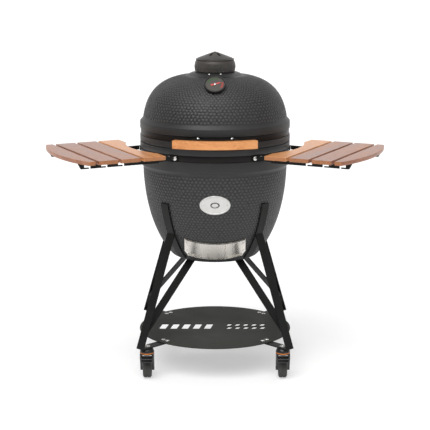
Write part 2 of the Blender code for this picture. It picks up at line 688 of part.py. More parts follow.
def make_draft():
    outer = DRAFT_RADIUS + DRAFT_PLATE
    outline = front_band(DRAFT_RADIUS, outer, -DRAFT_SPAN, DRAFT_SPAN, 14)
    frame = as_mesh(flat("draft_frame", [outline], DRAFT_FRAME))
    place_part(frame, STAINLESS, DRAFT_AXIS)
    rail_place = (DRAFT_FRAME - DRAFT_RAIL) / 2
    for side in (-1, 1):
        band = front_band(DRAFT_RADIUS + DRAFT_PLATE / 4, outer + DRAFT_RAIL_PROUD,
                          -DRAFT_RAIL_SPAN, DRAFT_RAIL_SPAN, 14)
        rail = as_mesh(flat("draft_rail", [band], DRAFT_RAIL - 2 * RUN, TOOLS))
        place_part(rail, STAINLESS, DRAFT_AXIS, (0, 0, side * rail_place))
        combine(frame, rail, "UNION")
    combine(frame, draft_hole("draft_window", 0.0), "DIFFERENCE")
    for side in (-1, 1):
        cut = DRAFT_CORNER * sqrt(2)
        corner = box("draft_corner", (cut, DRAFT_FRAME, cut), TOOLS)
        place = (side * DRAFT_RADIUS * sin(DRAFT_SPAN), -DRAFT_RADIUS * cos(DRAFT_SPAN),
                 -DRAFT_FRAME / 2)
        place_part(corner, STAINLESS, DRAFT_AXIS, place, (0, pi / 4, 0))
        combine(frame, corner, "DIFFERENCE")
    inner = outer + RUN
    sheet = inner + DOOR_THICKNESS
    first = WINDOW_FROM - DOOR_OVERLAP
    last = WINDOW_TO + DOOR_OVERLAP
    fold = last - DOOR_THICKNESS / sheet
    outline = front_arc(sheet, first, fold, 8) + front_arc(sheet + DOOR_PULL, fold, last, 1)
    outline += front_arc(inner, last, first, 8)
    height = DRAFT_FRAME - 2 * DRAFT_RAIL - 2 * RUN
    place_part(flat("draft_door", [outline], height), STAINLESS, DRAFT_AXIS)


def make_badge():
    low = BADGE_HEIGHT - BADGE_TALL / 2 - BADGE_THICKNESS
    high = BADGE_HEIGHT + BADGE_TALL / 2 + BADGE_THICKNESS
    back = -2 * GAP
    outer = base_steps(high, low, 4, back - BADGE_THICKNESS)
    inner = base_steps(low, high, 4, back)
    plate = place_part(turned("emblem_plate", outer + inner), ALUMINIUM, GRILL)
    oval = [(BADGE_WIDTH / 2 * cos(a), BADGE_TALL / 2 * sin(a))
            for a in (2 * pi * i / BADGE_POINTS for i in range(BADGE_POINTS))]
    tool = as_mesh(flat("badge_outline", [oval], BADGE_WIDTH, TOOLS))
    place = (0, -base_radius(BADGE_HEIGHT), BADGE_HEIGHT)
    place_part(tool, ALUMINIUM, GRILL, place, (pi / 2, 0, 0))
    combine(plate, tool, "INTERSECT")


# Inside the base

def make_firebox():
    inset = WALL + FIREBOX_PLAY
    outer = base_steps(FIREBOX_TOP, FIREBOX_BOTTOM, 4, inset)
    throat = base_radius(FIREBOX_BOTTOM, inset) - FIREBOX_WALL
    inner = [(radius - FIREBOX_WALL, height)
             for radius, height in base_steps(LEDGE, FIREBOX_TOP, 3, inset)]
    profile = outer + [(throat, FIREBOX_BOTTOM), (throat, LEDGE)] + inner
    firebox = place_part(turned("firebox", profile), FIRE_CLAY, GRILL)
    combine(firebox, draft_hole("firebox_hole", 2 * WINDOW_STEP), "DIFFERENCE")
    bottom = FIREBOX_TOP + GAP
    outer = base_steps(RING_TOP, bottom, 2, inset)
    inner = [(radius - RING_WALL, height) for radius, height in outer[::-1]]
    place_part(turned("fire_ring", outer + inner), FIRE_CLAY, GRILL)


def grate_outlines(radius):
    """A round grate: a rim, straight bars and one cross bar."""
    outlines = [circle(radius, 40)]
    inside = radius - GRATE_RIM
    pitch = GRATE_BAR + GRATE_SLOT
    rows = int((inside - GRATE_SLOT / 2) / pitch)
    for row in range(-rows, rows + 1):
        low = row * pitch - GRATE_SLOT / 2
        high = low + GRATE_SLOT
        reach = sqrt(inside ** 2 - max(abs(low), abs(high)) ** 2)
        if reach > GRATE_SLOT:
            for side in (-1, 1):
                near = side * GRATE_BAR
                far = side * reach
                outlines.append([(near, low), (far, low), (far, high), (near, high)])
    return outlines


def make_grates():
    inset = WALL + FIREBOX_PLAY
    radius = base_radius(LEDGE, inset) - FIREBOX_WALL - GRATE_PLAY
    coal = flat("charcoal_grate", grate_outlines(radius), CHARCOAL_GRATE)
    place_part(coal, CAST_IRON, GRILL, (0, 0, LEDGE + GAP + CHARCOAL_GRATE / 2))
    radius = base_radius(BASE_WAIST, WALL) - GRATE_PLAY
    grate = flat("cooking_grate", grate_outlines(radius), COOKING_GRATE)
    place_part(grate, STAINLESS, GRATE)


# Trolley

def post_reach(height):
    return FOOT_REACH - (height - SHELF_ARM_TOP) * POST_SLOPE


def post_meets_arm(offset):
    """The height where a face of the post meets the outside of the cradle arm."""
    low = BASE_BOTTOM
    high = ARM_TOP
    for _ in range(40):
        height = (low + high) / 2
        arm = base_radius(height, -(ARM_PLAY + STRAP + 2 * GAP))
        if post_reach(height) + offset > arm:
            low = height
        else:
            high = height
    return low


def upright(name, outline, thickness, finish, angle, parent, place=(0, 0, 0)):
    """A plate standing in a plane through the egg's axis, at an angle round it."""
    return place_part(flat(name, [outline], thickness), finish, parent, place,
                      (pi / 2, 0, angle))


def leg_outline():
    half = STRAP / 2 * sqrt(1 + POST_SLOPE ** 2)
    bottom = SHELF_ARM_TOP - STRAP
    outside = post_meets_arm(half)
    inside = post_meets_arm(-half)
    return [(SHELF_ARM_REACH, bottom), (post_reach(bottom) + half, bottom),
            (post_reach(outside) + half, outside), (post_reach(inside) - half, inside),
            (post_reach(SHELF_ARM_TOP) - half, SHELF_ARM_TOP), (SHELF_ARM_REACH, SHELF_ARM_TOP)]


def arm_outline():
    inner = base_steps(ARM_TOP, ARM_BOTTOM, 8, -ARM_PLAY)
    outer = base_steps(ARM_BOTTOM, ARM_TOP, 8, -(ARM_PLAY + STRAP))
    return inner + outer


def strut_outline():
    half = STRAP / 2
    length = sqrt(1 + STRUT_DROP ** 2)
    along = (1 / length, -STRUT_DROP / length)
    across = (-along[1] * half, along[0] * half)
    top = BASE_BOTTOM - STRAP - 3 * GAP
    post = (post_reach(0.0) - half * sqrt(1 + POST_SLOPE ** 2) - 2 * GAP, 0.0)
    corners = []
    for side in (1, -1):
        start = (STRUT_REACH + side * across[0], top + side * across[1])
        upper = crossing(start, along, (0.0, top), (1.0, 0.0))
        lower = crossing(start, along, post, (-POST_SLOPE, 1.0))
        corners += [upper, lower] if side == 1 else [lower, upper]
    return corners


def make_trolley():
    for corner, angle in LEGS.items():
        upright("leg_" + corner, leg_outline(), STRAP_WIDTH, BLACK_STEEL, angle, GRILL)
        upright("cradle_arm_" + corner, arm_outline(), STRAP_WIDTH, BLACK_STEEL, angle, GRILL)
        upright("strut_" + corner, strut_outline(), STRAP_WIDTH, BLACK_STEEL, angle, GRILL)
    top = BASE_BOTTOM - GAP
    under = ring("under_ring", UNDER_RING_INNER, UNDER_RING_OUTER, top - STRAP, top)
    place_part(under, BLACK_STEEL, GRILL)
    outlines = [circle(SHELF_RADIUS, 64)] + shelf_slots()
    shelf = flat("lower_shelf", outlines, SHELF_THICKNESS)
    place_part(shelf, SHELF_GREY, GRILL, (0, 0, SHELF_BOTTOM + SHELF_THICKNESS / 2))


def slanted_slot(x, y, size):
    width, depth = size[0] / 2, size[1] / 2
    lean = SLOT_SLANT / 2
    return [(x - width - lean, y - depth), (x + width - lean, y - depth),
            (x + width + lean, y + depth), (x - width + lean, y + depth)]


def shelf_slots():
    slots = [slanted_slot(SLOT_START + SLOT_PITCH * i, 0.0, BIG_SLOT)
             for i in range(SLOT_COUNT)]
    for row in (-1, 1):
        slots += [slanted_slot(SMALL_START + SMALL_PITCH * i, row * SMALL_ROW, SMALL_SLOT)
                  for i in range(SLOT_COUNT)]
    return slots


# Casters

def make_caster(corner, angle):
    swivel = pivot("swivel_" + corner, (CASTER_REACH * cos(angle), CASTER_REACH * sin(angle),
                                        WHEEL_RADIUS), parent=GRILL)
    low = HOUSING_BOTTOM - WHEEL_RADIUS
    high = HOUSING_TOP - WHEEL_RADIUS
    shoulder = (HOUSING_RADIUS - HOUSING_CHAMFER[0], high - HOUSING_CHAMFER[1])
    profile = [(0.0, high), (shoulder[0], high), (HOUSING_RADIUS, shoulder[1]),
               (HOUSING_RADIUS, low), (0.0, low)]
    fork = turned("caster_fork_" + corner, profile, closed=False, steps=20)
    place_part(fork, GLOSS_BLACK, swivel)
    front = -LEVER_PIVOT - FORK_FRONT
    outline = [(CASTER_TRAIL, low + FORK_ROOT)]
    outline += arc(FORK_END, radians(20), radians(-190), 8, (CASTER_TRAIL, 0.0))
    outline += [(front, low - FORK_CORNER), (front, low + FORK_ROOT)]
    for side in (-1, 1):
        cheek = as_mesh(flat("fork_cheek", [outline], FORK_PLATE, TOOLS))
        place = (side * (FORK_INNER + FORK_PLATE / 2), 0, 0)
        place_part(cheek, GLOSS_BLACK, swivel, place, (pi / 2, 0, pi / 2))
        combine(fork, cheek, "UNION")
    axle = rod("fork_axle", AXLE_RADIUS, 2 * (HOUSING_RADIUS + AXLE_PROUD), TOOLS, 12)
    place_part(axle, GLOSS_BLACK, swivel, (0, CASTER_TRAIL, 0), (0, pi / 2, 0))
    combine(fork, axle, "UNION")
    hub = pivot("axle_" + corner, (0, CASTER_TRAIL, 0), parent=swivel)
    half = WHEEL_WIDTH / 2
    tread = half - WHEEL_CHAMFER
    side = WHEEL_RADIUS - WHEEL_CHAMFER
    bore = AXLE_RADIUS + RUN
    profile = [(WHEEL_RADIUS, tread), (WHEEL_RADIUS, -tread), (side, -half), (bore, -half),
               (bore, half), (side, half)]
    wheel = turned("caster_wheel_" + corner, profile, steps=28)
    place_part(wheel, GREY_RUBBER, hub, (0, 0, 0), (0, pi / 2, 0))
    if corner.startswith("front"):
        make_brake_lever(corner, swivel, low)


def make_brake_lever(corner, swivel, housing_bottom):
    brake = pivot("brake_" + corner, (0, -LEVER_PIVOT, housing_bottom - LEVER_DROP),
                  parent=swivel)
    eye = LEVER_THICKNESS
    outline = [(eye, -eye / 2), (eye, eye / 2), (0.0, eye), (-LEVER_LENGTH, 0.0),
               (-LEVER_LENGTH, -eye), (0.0, -eye)]
    lever = flat("brake_lever_" + corner, [outline], 2 * (FORK_INNER - RUN))
    place_part(lever, GLOSS_BLACK, brake, (0, 0, 0), (pi / 2, 0, pi / 2))


# Side tables

def slat_outline(index):
    start = FIRST_GAP + (index - 1) * SLAT_PITCH + SLAT_GAP / 2
    end = FIRST_GAP + index * SLAT_PITCH - SLAT_GAP / 2
    half = SLAT_LENGTH / 2
    if index == 0:
        start = TABLE_START
        reach = asin(sqrt(TABLE_ROUND_INNER ** 2 - start ** 2) / TABLE_ROUND_INNER)
        hollow = arc(TABLE_ROUND_INNER, -reach, reach, 8)
        return [(end, half), (end, -half), (start, -half)] + hollow + [(start, half)]
    if index == SLAT_COUNT - 1:
        reach = asin(half / TABLE_ROUND_OUTER)
        return [(start, half), (start, -half)] + arc(TABLE_ROUND_OUTER, -reach, reach, 10)
    return [(start, -half), (end, -half), (end, half), (start, half)]


def bracket_outline():
    top = SLAT_BOTTOM - GAP
    low = top - TABLE_BRACKET_HEIGHT
    end = FOLD_REACH - FOLD_PIN - TABLE_BRACKET_NOSE
    corner = TABLE_BRACKET_CORNER
    outline = [(end, top - corner), (end + corner, top), (TABLE_BRACKET_END, top),
               (TABLE_BRACKET_END - BRACKET_SLANT, low)]
    for hook in range(HOOK_COUNT):
        mouth = TABLE_BRACKET_END - HOOK_FIRST - hook * HOOK_PITCH
        near = mouth - HOOK_MOUTH / 2
        shelf = low + HOOK_LIP
        outline += [(mouth + HOOK_MOUTH / 2, low), (mouth + HOOK_MOUTH / 2, shelf),
                    (near + HOOK_LENGTH, shelf), (near + HOOK_LENGTH, shelf + HOOK_HEIGHT),
                    (near, shelf + HOOK_HEIGHT), (near, low)]
    return outline + [(end + corner, low), (end, low + corner)]


def make_table(side, angle):
    fold = pivot("fold_" + side, (FOLD_REACH * cos(angle), FOLD_REACH * sin(angle),
                                  FOLD_HEIGHT), (0, 0, angle), GRILL)
    for index in range(SLAT_COUNT):
        slat = as_mesh(flat(f"slat_{side}_{index + 1}", [slat_outline(index)], SLAT_THICKNESS))
        height = SLAT_TOP - SLAT_THICKNESS / 2 - FOLD_HEIGHT
        place_part(slat, WOOD, fold, (-FOLD_REACH, 0, height))
        bevel(slat, SLAT_EDGE, 1)
    eye = circle(FOLD_PIN + RUN, 14, (FOLD_REACH, FOLD_HEIGHT))
    for end, along in TABLE_ENDS[side].items():
        bracket = flat(f"table_bracket_{side}_{end}", [bracket_outline(), eye], TABLE_BRACKET)
        place = (-FOLD_REACH, along * TABLE_BRACKET_OFFSET, -FOLD_HEIGHT)
        place_part(bracket, BLACK_STEEL, fold, place, (pi / 2, 0, 0))
        make_lug(f"table_lug_{side}_{end}", angle, along)


def make_lug(name, angle, along):
    """A lug on the base band that carries one end of a table's fold pin."""
    sideways = TABLE_BRACKET_OFFSET - TABLE_BRACKET / 2 - RUN - LUG_THICKNESS / 2
    band = BASE_BAND_BOTTOM + BAND / 2
    foot_inner = BAND_OUTER + GAP
    foot_outer = foot_inner + LUG_THICKNESS
    start = sqrt(foot_outer ** 2 - (sideways + LUG_THICKNESS / 2) ** 2) - PIN_OVERLAP
    half = LUG_HEIGHT / 2 - LUG_EDGE
    outline = [(start, band - half), (start, band + half)]
    outline += arc(LUG_EYE, radians(80), radians(-80), 6, (FOLD_REACH, FOLD_HEIGHT))
    lug = as_mesh(flat(name, [outline], LUG_THICKNESS))
    swing = Vector((-sin(angle), cos(angle), 0.0)) * along
    place_part(lug, BLACK_STEEL, GRILL, swing * sideways, (pi / 2, 0, angle))
    bearing = asin(sideways / foot_outer)
    foot_line = arc_band(foot_inner, foot_outer, bearing - LUG_FOOT, bearing + LUG_FOOT, 4)
    foot_line = [(x, along * y) for x, y in foot_line]
    foot = as_mesh(flat("lug_foot", [foot_line], LUG_HEIGHT, TOOLS))
    place_part(foot, BLACK_STEEL, GRILL, (0, 0, band), (0, 0, angle))
    combine(lug, foot, "UNION")
    length = 2 * TABLE_BRACKET + LUG_THICKNESS
    pin = rod("fold_pin", FOLD_PIN, length, TOOLS, 12)
    middle = swing * (sideways + length / 2 - PIN_OVERLAP)
    place = Vector((FOLD_REACH * cos(angle), FOLD_REACH * sin(angle), FOLD_HEIGHT)) + middle
    place_part(pin, BLACK_STEEL, GRILL, place, (pi / 2, 0, angle))
    combine(lug, pin, "UNION")


# Lid hinge

def make_hinge():
    foot_start = BAND_OUTER + GAP
    inside = foot_start + HINGE_FOOT / 2
    centre = (HINGE_REACH, SEAM)
    base_middle = BASE_BAND_BOTTOM + BAND / 2
    lid_middle = LID_BAND_BOTTOM + BAND / 2
    half = BAND / 2 - HINGE_EDGE
    place = (0, foot_start + HINGE_FOOT / 2, base_middle)
    base = box("hinge_base", (HINGE_FOOT_WIDTH, HINGE_FOOT, 2 * half))
    place_part(base, BLACK_STEEL, GRILL, place)
    ear_line = [(inside, base_middle - half), (inside, base_middle + half)]
    ear_line += arc(HINGE_EAR_EYE, radians(150), radians(-70), 8, centre)
    for side in (-1, 1):
        ear = as_mesh(flat("hinge_ear", [ear_line], HINGE_EAR, TOOLS))
        across = side * (HINGE_WIDTH / 2 + RUN + HINGE_EAR / 2)
        place_part(ear, BLACK_STEEL, GRILL, (across, 0, 0), (pi / 2, 0, pi / 2))
        combine(base, ear, "UNION")
    length = HINGE_WIDTH + 2 * (HINGE_EAR + HINGE_PIN_PROUD)
    pin = rod("hinge_pin", HINGE_PIN, length, TOOLS, 14)
    place_part(pin, BLACK_STEEL, GRILL, (0, HINGE_REACH, SEAM), (0, pi / 2, 0))
    combine(base, pin, "UNION")
    arm_line = arc(HINGE_EYE, radians(60), radians(-150), 10, centre)
    arm_line += [(inside, lid_middle - half), (inside, lid_middle + half)]
    eye = circle(HINGE_PIN + RUN, 14, centre)
    lid_arm = as_mesh(flat("hinge_lid", [arm_line, eye], HINGE_WIDTH))
    place_part(lid_arm, BLACK_STEEL, LID, LID_HOME, (pi / 2, 0, pi / 2))
    foot = box("hinge_lid_foot", (HINGE_FOOT_WIDTH, HINGE_FOOT, 2 * half), TOOLS)
    on_lid(foot, BLACK_STEEL, lid_middle, (0, inside, 0))
    combine(lid_arm, foot, "UNION")


# The model

clear_scene()
PARTS = new_collection("kamado_grill")
TOOLS = new_collection("cutters")

CERAMIC = material("ceramic", (0.055, 0.056, 0.057), 0.55)
FIRE_CLAY = material("fire_clay", (0.45, 0.38, 0.30), 0.9)
DARK_STEEL = material("band_steel", (0.035, 0.030, 0.028), 0.45, 0.6)
BLACK_STEEL = material("black_steel", (0.018, 0.019, 0.018), 0.5)
SHELF_GREY = material("shelf_grey", (0.040, 0.042, 0.037), 0.55)
STAINLESS = material("stainless", (0.62, 0.60, 0.57), 0.35, 1.0)
ALUMINIUM = material("cast_aluminium", (0.75, 0.75, 0.73), 0.4, 0.8)
CAST_IRON = material("cast_iron", (0.050, 0.045, 0.042), 0.55, 0.5)
WOOD = material("oiled_wood", (0.36, 0.14, 0.06), 0.55)
FELT_GREY = material("felt", (0.10, 0.10, 0.10), 0.95)
GLOSS_BLACK = material("gloss_black", (0.010, 0.010, 0.012), 0.25)
GREY_RUBBER = material("grey_rubber", (0.10, 0.10, 0.095), 0.7)
RED = material("needle_red", (0.60, 0.05, 0.03), 0.4)

GRILL = pivot("grill", (0, AXIS_PLACE, 0))
LID = pivot("lid_hinge", (0, HINGE_REACH, SEAM), parent=GRILL)
LID_HOME = (0, -HINGE_REACH, -SEAM)
CAP = pivot("cap_pivot", (0, -HINGE_REACH, COLLAR_TOP - SEAM), parent=LID)
DIAL_LIFT = dome_height(DIAL_REACH) + DIAL_STANDOFF * sin(DIAL_TILT) - SEAM
DIAL = pivot("dial_pivot", (0, -HINGE_REACH - DIAL_REACH - DIAL_STANDOFF * cos(DIAL_TILT),
                            DIAL_LIFT), (pi / 2 - DIAL_TILT, 0, 0), LID)
DRAFT_LEAN = base_lean(DRAFT_HEIGHT)
DRAFT_RADIUS = base_radius(DRAFT_HEIGHT) / cos(DRAFT_LEAN)
DRAFT_AXIS = pivot("draft_axis", (0, 0, DRAFT_HEIGHT + DRAFT_RADIUS * sin(DRAFT_LEAN)),
                   (DRAFT_LEAN, 0, 0), GRILL)
GRATE = pivot("grate_slide", (0, 0, RING_TOP + GAP + COOKING_GRATE / 2), parent=GRILL)

make_base_shell()
make_lid_shell()
make_bands()
make_cap()
make_thermometer()
make_handle()
make_draft()
make_badge()
make_firebox()
make_grates()
make_trolley()
for corner_name, corner_angle in LEGS.items():
    make_caster(corner_name, corner_angle)
for table_side, table_angle in TABLES.items():
    make_table(table_side, table_angle)
make_hinge()

for piece in PARTS.objects:
    if piece.type == "MESH" and not piece.name.startswith(("slat", "table", "hinge")):
        smooth_round(piece)
bpy.context.view_layer.update()
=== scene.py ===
import json
from math import acos, asin, atan2, cos, pi, radians, sin, sqrt

import bmesh
import bpy
import numpy as np
from mathutils import Matrix, Vector


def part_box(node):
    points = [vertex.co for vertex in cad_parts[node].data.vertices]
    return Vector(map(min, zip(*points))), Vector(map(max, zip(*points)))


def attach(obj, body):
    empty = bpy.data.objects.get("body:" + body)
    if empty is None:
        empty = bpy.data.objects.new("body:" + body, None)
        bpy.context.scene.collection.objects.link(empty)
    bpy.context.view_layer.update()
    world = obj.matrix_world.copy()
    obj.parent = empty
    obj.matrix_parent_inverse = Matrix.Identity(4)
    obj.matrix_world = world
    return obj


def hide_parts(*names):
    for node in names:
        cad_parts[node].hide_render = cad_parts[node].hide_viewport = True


# Kamado grill on its trolley: the finished pieces, built round its working model.
# Everything is in metres; the front of the grill faces -Y.

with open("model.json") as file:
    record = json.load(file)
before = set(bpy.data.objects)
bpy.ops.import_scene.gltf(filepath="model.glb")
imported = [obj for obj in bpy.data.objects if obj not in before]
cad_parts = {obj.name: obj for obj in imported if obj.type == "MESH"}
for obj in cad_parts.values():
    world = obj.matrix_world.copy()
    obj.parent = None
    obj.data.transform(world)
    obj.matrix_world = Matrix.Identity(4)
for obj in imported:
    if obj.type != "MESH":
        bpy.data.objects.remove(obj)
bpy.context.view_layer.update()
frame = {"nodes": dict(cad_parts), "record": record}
nodes = frame["nodes"]
joints = {joint["name"]: joint for joint in frame["record"]["behaviour"]["joints"]}
random = np.random.default_rng(8)
print("frame loaded:", len(nodes), "nodes")


def heightsOf(node):
    low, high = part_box(node)
    return low.z, high.z


def reachOf(node):  # half of a round piece's width
    low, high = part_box(node)
    return (high.x - low.x) / 2


def pinOf(joint):  # a point on a joint's axis
    return Vector(joints[joint]["pos_m"])


def leanOf(joint):  # how far a joint's axis leans from upright, about X
    axis = Vector(joints[joint]["axis"])
    return atan2(-axis.y, axis.z)


shellLow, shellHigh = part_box("base_shell")
eggY = (shellLow.y + shellHigh.y) / 2
eggAxis = Vector((0, eggY, 0))
baseBottom, baseTop = heightsOf("base_shell")
lidBottom, neckTop = heightsOf("lid_shell")
seam = (baseTop + lidBottom) / 2
rimRadius = reachOf("base_shell")
bandRadius = reachOf("base_band")
corners = ("front_left", "front_right", "rear_left", "rear_right")


def newObject(name, mesh, place=(0, 0, 0), turn=(0, 0, 0)):
    piece = bpy.data.objects.new(name, mesh)
    bpy.context.scene.collection.objects.link(piece)
    piece.location = place
    piece.rotation_euler = turn
    return piece


def smoothSides(piece, limit=40):
    piece.data.shade_smooth()
    piece.data.set_sharp_from_angle(angle=radians(limit))
    return piece


# Turns a profile of (radius, height) points round Z. It runs down the outside,
# so a lift moves each point out from the surface.
def turnShape(name, profile, segments=96, ends="capped", lift=None, place=eggAxis,
              turn=(0, 0, 0), limit=40):
    line = np.array(profile, float)
    angles = np.arange(segments) * 2 * pi / segments
    radii = np.repeat(line[:, :1], segments, 1)
    heights = np.repeat(line[:, 1:], segments, 1)
    if lift is not None:
        along = np.gradient(line, axis=0)
        along /= np.linalg.norm(along, axis=1)[:, None]
        radii = radii - lift * along[:, 1:]
        heights = heights + lift * along[:, :1]
    points = np.stack((radii * np.cos(angles), radii * np.sin(angles), heights), -1)
    rows = len(line)
    upper = np.arange(rows if ends == "joined" else rows - 1)[:, None] * segments
    lower = (upper + segments) % (rows * segments)
    here = np.arange(segments)
    ahead = (here + 1) % segments
    quads = np.stack((upper + here, lower + here, lower + ahead, upper + ahead), -1)
    faces = quads.reshape(-1, 4).tolist()
    if ends == "capped":
        faces.append(list(range(segments)))
        faces.append([(rows - 1) * segments + i for i in range(segments)][::-1])
    mesh = bpy.data.meshes.new(name)
    mesh.from_pydata(points.reshape(-1, 3).tolist(), [], faces)
    if lift is not None:
        crown = mesh.attributes.new("crown", "FLOAT", "POINT")
        crown.data.foreach_set("value", lift.ravel())
    return smoothSides(newObject(name, mesh, place, turn), limit)


# Rounds the corners of a profile, with a few points on each.
def easeCorners(profile, radius, steps=3, closed=False):
    points = [Vector(point) for point in profile]
    line = []
    for i, corner in enumerate(points):
        if not closed and i in (0, len(points) - 1):
            line.append(tuple(corner))
            continue
        before = points[i - 1] - corner
        after = points[(i + 1) % len(points)] - corner
        reach = min(radius, before.length / 2.2, after.length / 2.2)
        start = corner + before.normalized() * reach
        end = corner + after.normalized() * reach
        for step in range(steps + 1):
            share = step / steps
            point = start * (1 - share) ** 2 + corner * 2 * share * (1 - share) + end * share ** 2
            line.append(tuple(point))
    return line


def meshOfCurve(curve, name):
    piece = bpy.data.objects.new(name, curve)
    bpy.context.scene.collection.objects.link(piece)
    bpy.context.view_layer.update()
    mesh = bpy.data.meshes.new_from_object(piece.evaluated_get(bpy.context.evaluated_depsgraph_get()))
    bpy.data.objects.remove(piece, do_unlink=True)
    bpy.data.curves.remove(curve)
    shape = bmesh.new()
    shape.from_mesh(mesh)
    bmesh.ops.remove_doubles(shape, verts=shape.verts, dist=0.00002)
    bmesh.ops.recalc_face_normals(shape, faces=shape.faces)
    shape.to_mesh(mesh)
    shape.free()
    mesh.materials.clear()
    return mesh


# A plate between two heights, from a closed outline and any holes in it.
def plateMesh(name, outlines, low, high):
    curve = bpy.data.curves.new(name, "CURVE")
    curve.dimensions = "2D"
    curve.fill_mode = "BOTH"
    curve.extrude = (high - low) / 2
    for outline in outlines:
        spline = curve.splines.new("POLY")
        spline.points.add(len(outline) - 1)
        for point, (x, y) in zip(spline.points, outline):
            point.co = (x, y, 0, 1)
        spline.use_cyclic_u = True
    mesh = meshOfCurve(curve, name)
    mesh.transform(Matrix.Translation((0, 0, (low + high) / 2)))
    return mesh


# Round wire along each line of points; looped lists the lines that close on themselves.
def wireMesh(name, lines, radius, looped):
    curve = bpy.data.curves.new(name, "CURVE")
    curve.dimensions = "3D"
    curve.bevel_depth = radius
    curve.bevel_resolution = 3
    curve.use_fill_caps = True
    for number, line in enumerate(lines):
        spline = curve.splines.new("POLY")
        spline.points.add(len(line) - 1)
        for point, place in zip(spline.points, line):
            point.co = (*place, 1)
        spline.use_cyclic_u = number in looped
    return meshOfCurve(curve, name)


# Bends a flat mesh (X along, Y up, Z out) round an upright axis.
def bendRound(mesh, radius, step):
    shape = bmesh.new()
    shape.from_mesh(mesh)
    across = [vert.co.x for vert in shape.verts]
    for i in range(int(min(across) / step) - 1, int(max(across) / step) + 2):
        everything = shape.verts[:] + shape.edges[:] + shape.faces[:]
        bmesh.ops.bisect_plane(shape, geom=everything, plane_co=(i * step, 0, 0),
                               plane_no=(1, 0, 0), dist=0.00001)
    for vert in shape.verts:
        x, y, z = vert.co
        angle = x / radius
        vert.co = ((radius + z) * sin(angle), -(radius + z) * cos(angle), y)
    shape.to_mesh(mesh)
    shape.free()
    return mesh


def roundEdges(piece, width, segments=2, angle=35):
    edges = piece.modifiers.new("roundEdges", "BEVEL")
    edges.width = width
    edges.segments = segments
    edges.limit_method = "ANGLE"
    edges.angle_limit = radians(angle)
    piece.data.shade_smooth()
    normals = piece.modifiers.new("evenNormals", "WEIGHTED_NORMAL")
    normals.keep_sharp = True
    return piece


def cutAway(piece, cutter):
    cut = piece.modifiers.new("cut", "BOOLEAN")
    cut.operation = "DIFFERENCE"
    cut.solver = "EXACT"
    cut.object = cutter
    bpy.context.view_layer.update()
    mesh = bpy.data.meshes.new_from_object(piece.evaluated_get(bpy.context.evaluated_depsgraph_get()))
    piece.modifiers.remove(cut)
    piece.data = mesh
    bpy.data.objects.remove(cutter, do_unlink=True)
    return piece


def boxMesh(name, size):
    mesh = bpy.data.meshes.new(name)
    shape = bmesh.new()
    bmesh.ops.create_cube(shape, size=1)
    bmesh.ops.scale(shape, vec=Vector(size), verts=shape.verts)
    shape.to_mesh(mesh)
    shape.free()
    return mesh


def arcLine(radius, start, end, steps, centre=(0, 0)):
    turns = np.linspace(start, end, steps + 1)
    return [(centre[0] + radius * cos(t), centre[1] + radius * sin(t)) for t in turns]


def frontArc(radius, start, end, steps):  # angle 0 looks out at the front
    return arcLine(radius, start - pi / 2, end - pi / 2, steps)


def roundedBox(x0, y0, x1, y1, radius, steps=5):
    line = arcLine(radius, pi, 1.5 * pi, steps, (x0 + radius, y0 + radius))
    line += arcLine(radius, 1.5 * pi, 2 * pi, steps, (x1 - radius, y0 + radius))
    line += arcLine(radius, 0, pi / 2, steps, (x1 - radius, y1 - radius))
    return line + arcLine(radius, pi / 2, pi, steps, (x0 + radius, y1 - radius))


def finishPiece(piece, finish, body, standsFor=()):
    piece.data.materials.clear()
    piece.data.materials.append(finish)
    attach(piece, body)
    if standsFor:
        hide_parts(*standsFor)
    return piece


def newFinish(name, **sockets):
    finish = bpy.data.materials.new(name)
    finish.use_nodes = True
    shader = finish.node_tree.nodes["Principled BSDF"]
    for socket, value in sockets.items():
        shader.inputs[socket.replace("_", " ")].default_value = value
    return finish, finish.node_tree, shader


def addNode(tree, kind, inputs=None, **settings):
    node = tree.nodes.new("ShaderNode" + kind)
    for name, value in settings.items():
        setattr(node, name, value)
    for socket, value in (inputs or {}).items():
        if isinstance(value, bpy.types.NodeSocket):
            tree.links.new(value, node.inputs[socket])
        else:
            node.inputs[socket].default_value = value
    return node


def ownCoords(tree, stretch=(1, 1, 1)):
    coords = addNode(tree, "TexCoord").outputs["Object"]
    return addNode(tree, "Mapping", {"Vector": coords, "Scale": stretch}).outputs[0]


def noiseOf(tree, place, scale, detail=3.0, rough=0.5, twist=0.0):
    return addNode(tree, "TexNoise", {"Vector": place, "Scale": scale, "Detail": detail,
                                      "Roughness": rough, "Distortion": twist}).outputs["Fac"]


def spread(tree, value, low, high, outLow, outHigh):  # maps a range of values to another
    return addNode(tree, "MapRange", {"Value": value, "From Min": low, "From Max": high,
                                      "To Min": outLow, "To Max": outHigh}).outputs[0]


def colourRun(tree, value, stops):
    ramp = addNode(tree, "ValToRGB", {"Fac": value})
    band = ramp.color_ramp
    while len(band.elements) < len(stops):
        band.elements.new(0.5)
    for element, (place, colour) in zip(band.elements, stops):
        element.position = place
        element.color = (*colour, 1)
    return ramp.outputs["Color"]


def blendColours(tree, share, first, second):
    mix = addNode(tree, "Mix", data_type="RGBA", blend_type="MIX")
    for socket, value in ((0, share), (6, first), (7, second)):
        if isinstance(value, bpy.types.NodeSocket):
            tree.links.new(value, mix.inputs[socket])
        else:
            mix.inputs[socket].default_value = value if socket == 0 else (*value, 1)
    return mix.outputs[2]


def maths(tree, way, first, second=0.0):
    node = addNode(tree, "Math", operation=way)
    for socket, value in enumerate((first, second)):
        if isinstance(value, bpy.types.NodeSocket):
            tree.links.new(value, node.inputs[socket])
        else:
            node.inputs[socket].default_value = value
    return node.outputs[0]


def roughen(tree, shader, height, strength, distance):
    bump = addNode(tree, "Bump", {"Height": height, "Strength": strength, "Distance": distance})
    tree.links.new(bump.outputs[0], shader.inputs["Normal"])


def shade(colour, share):
    return tuple(part * share for part in colour)


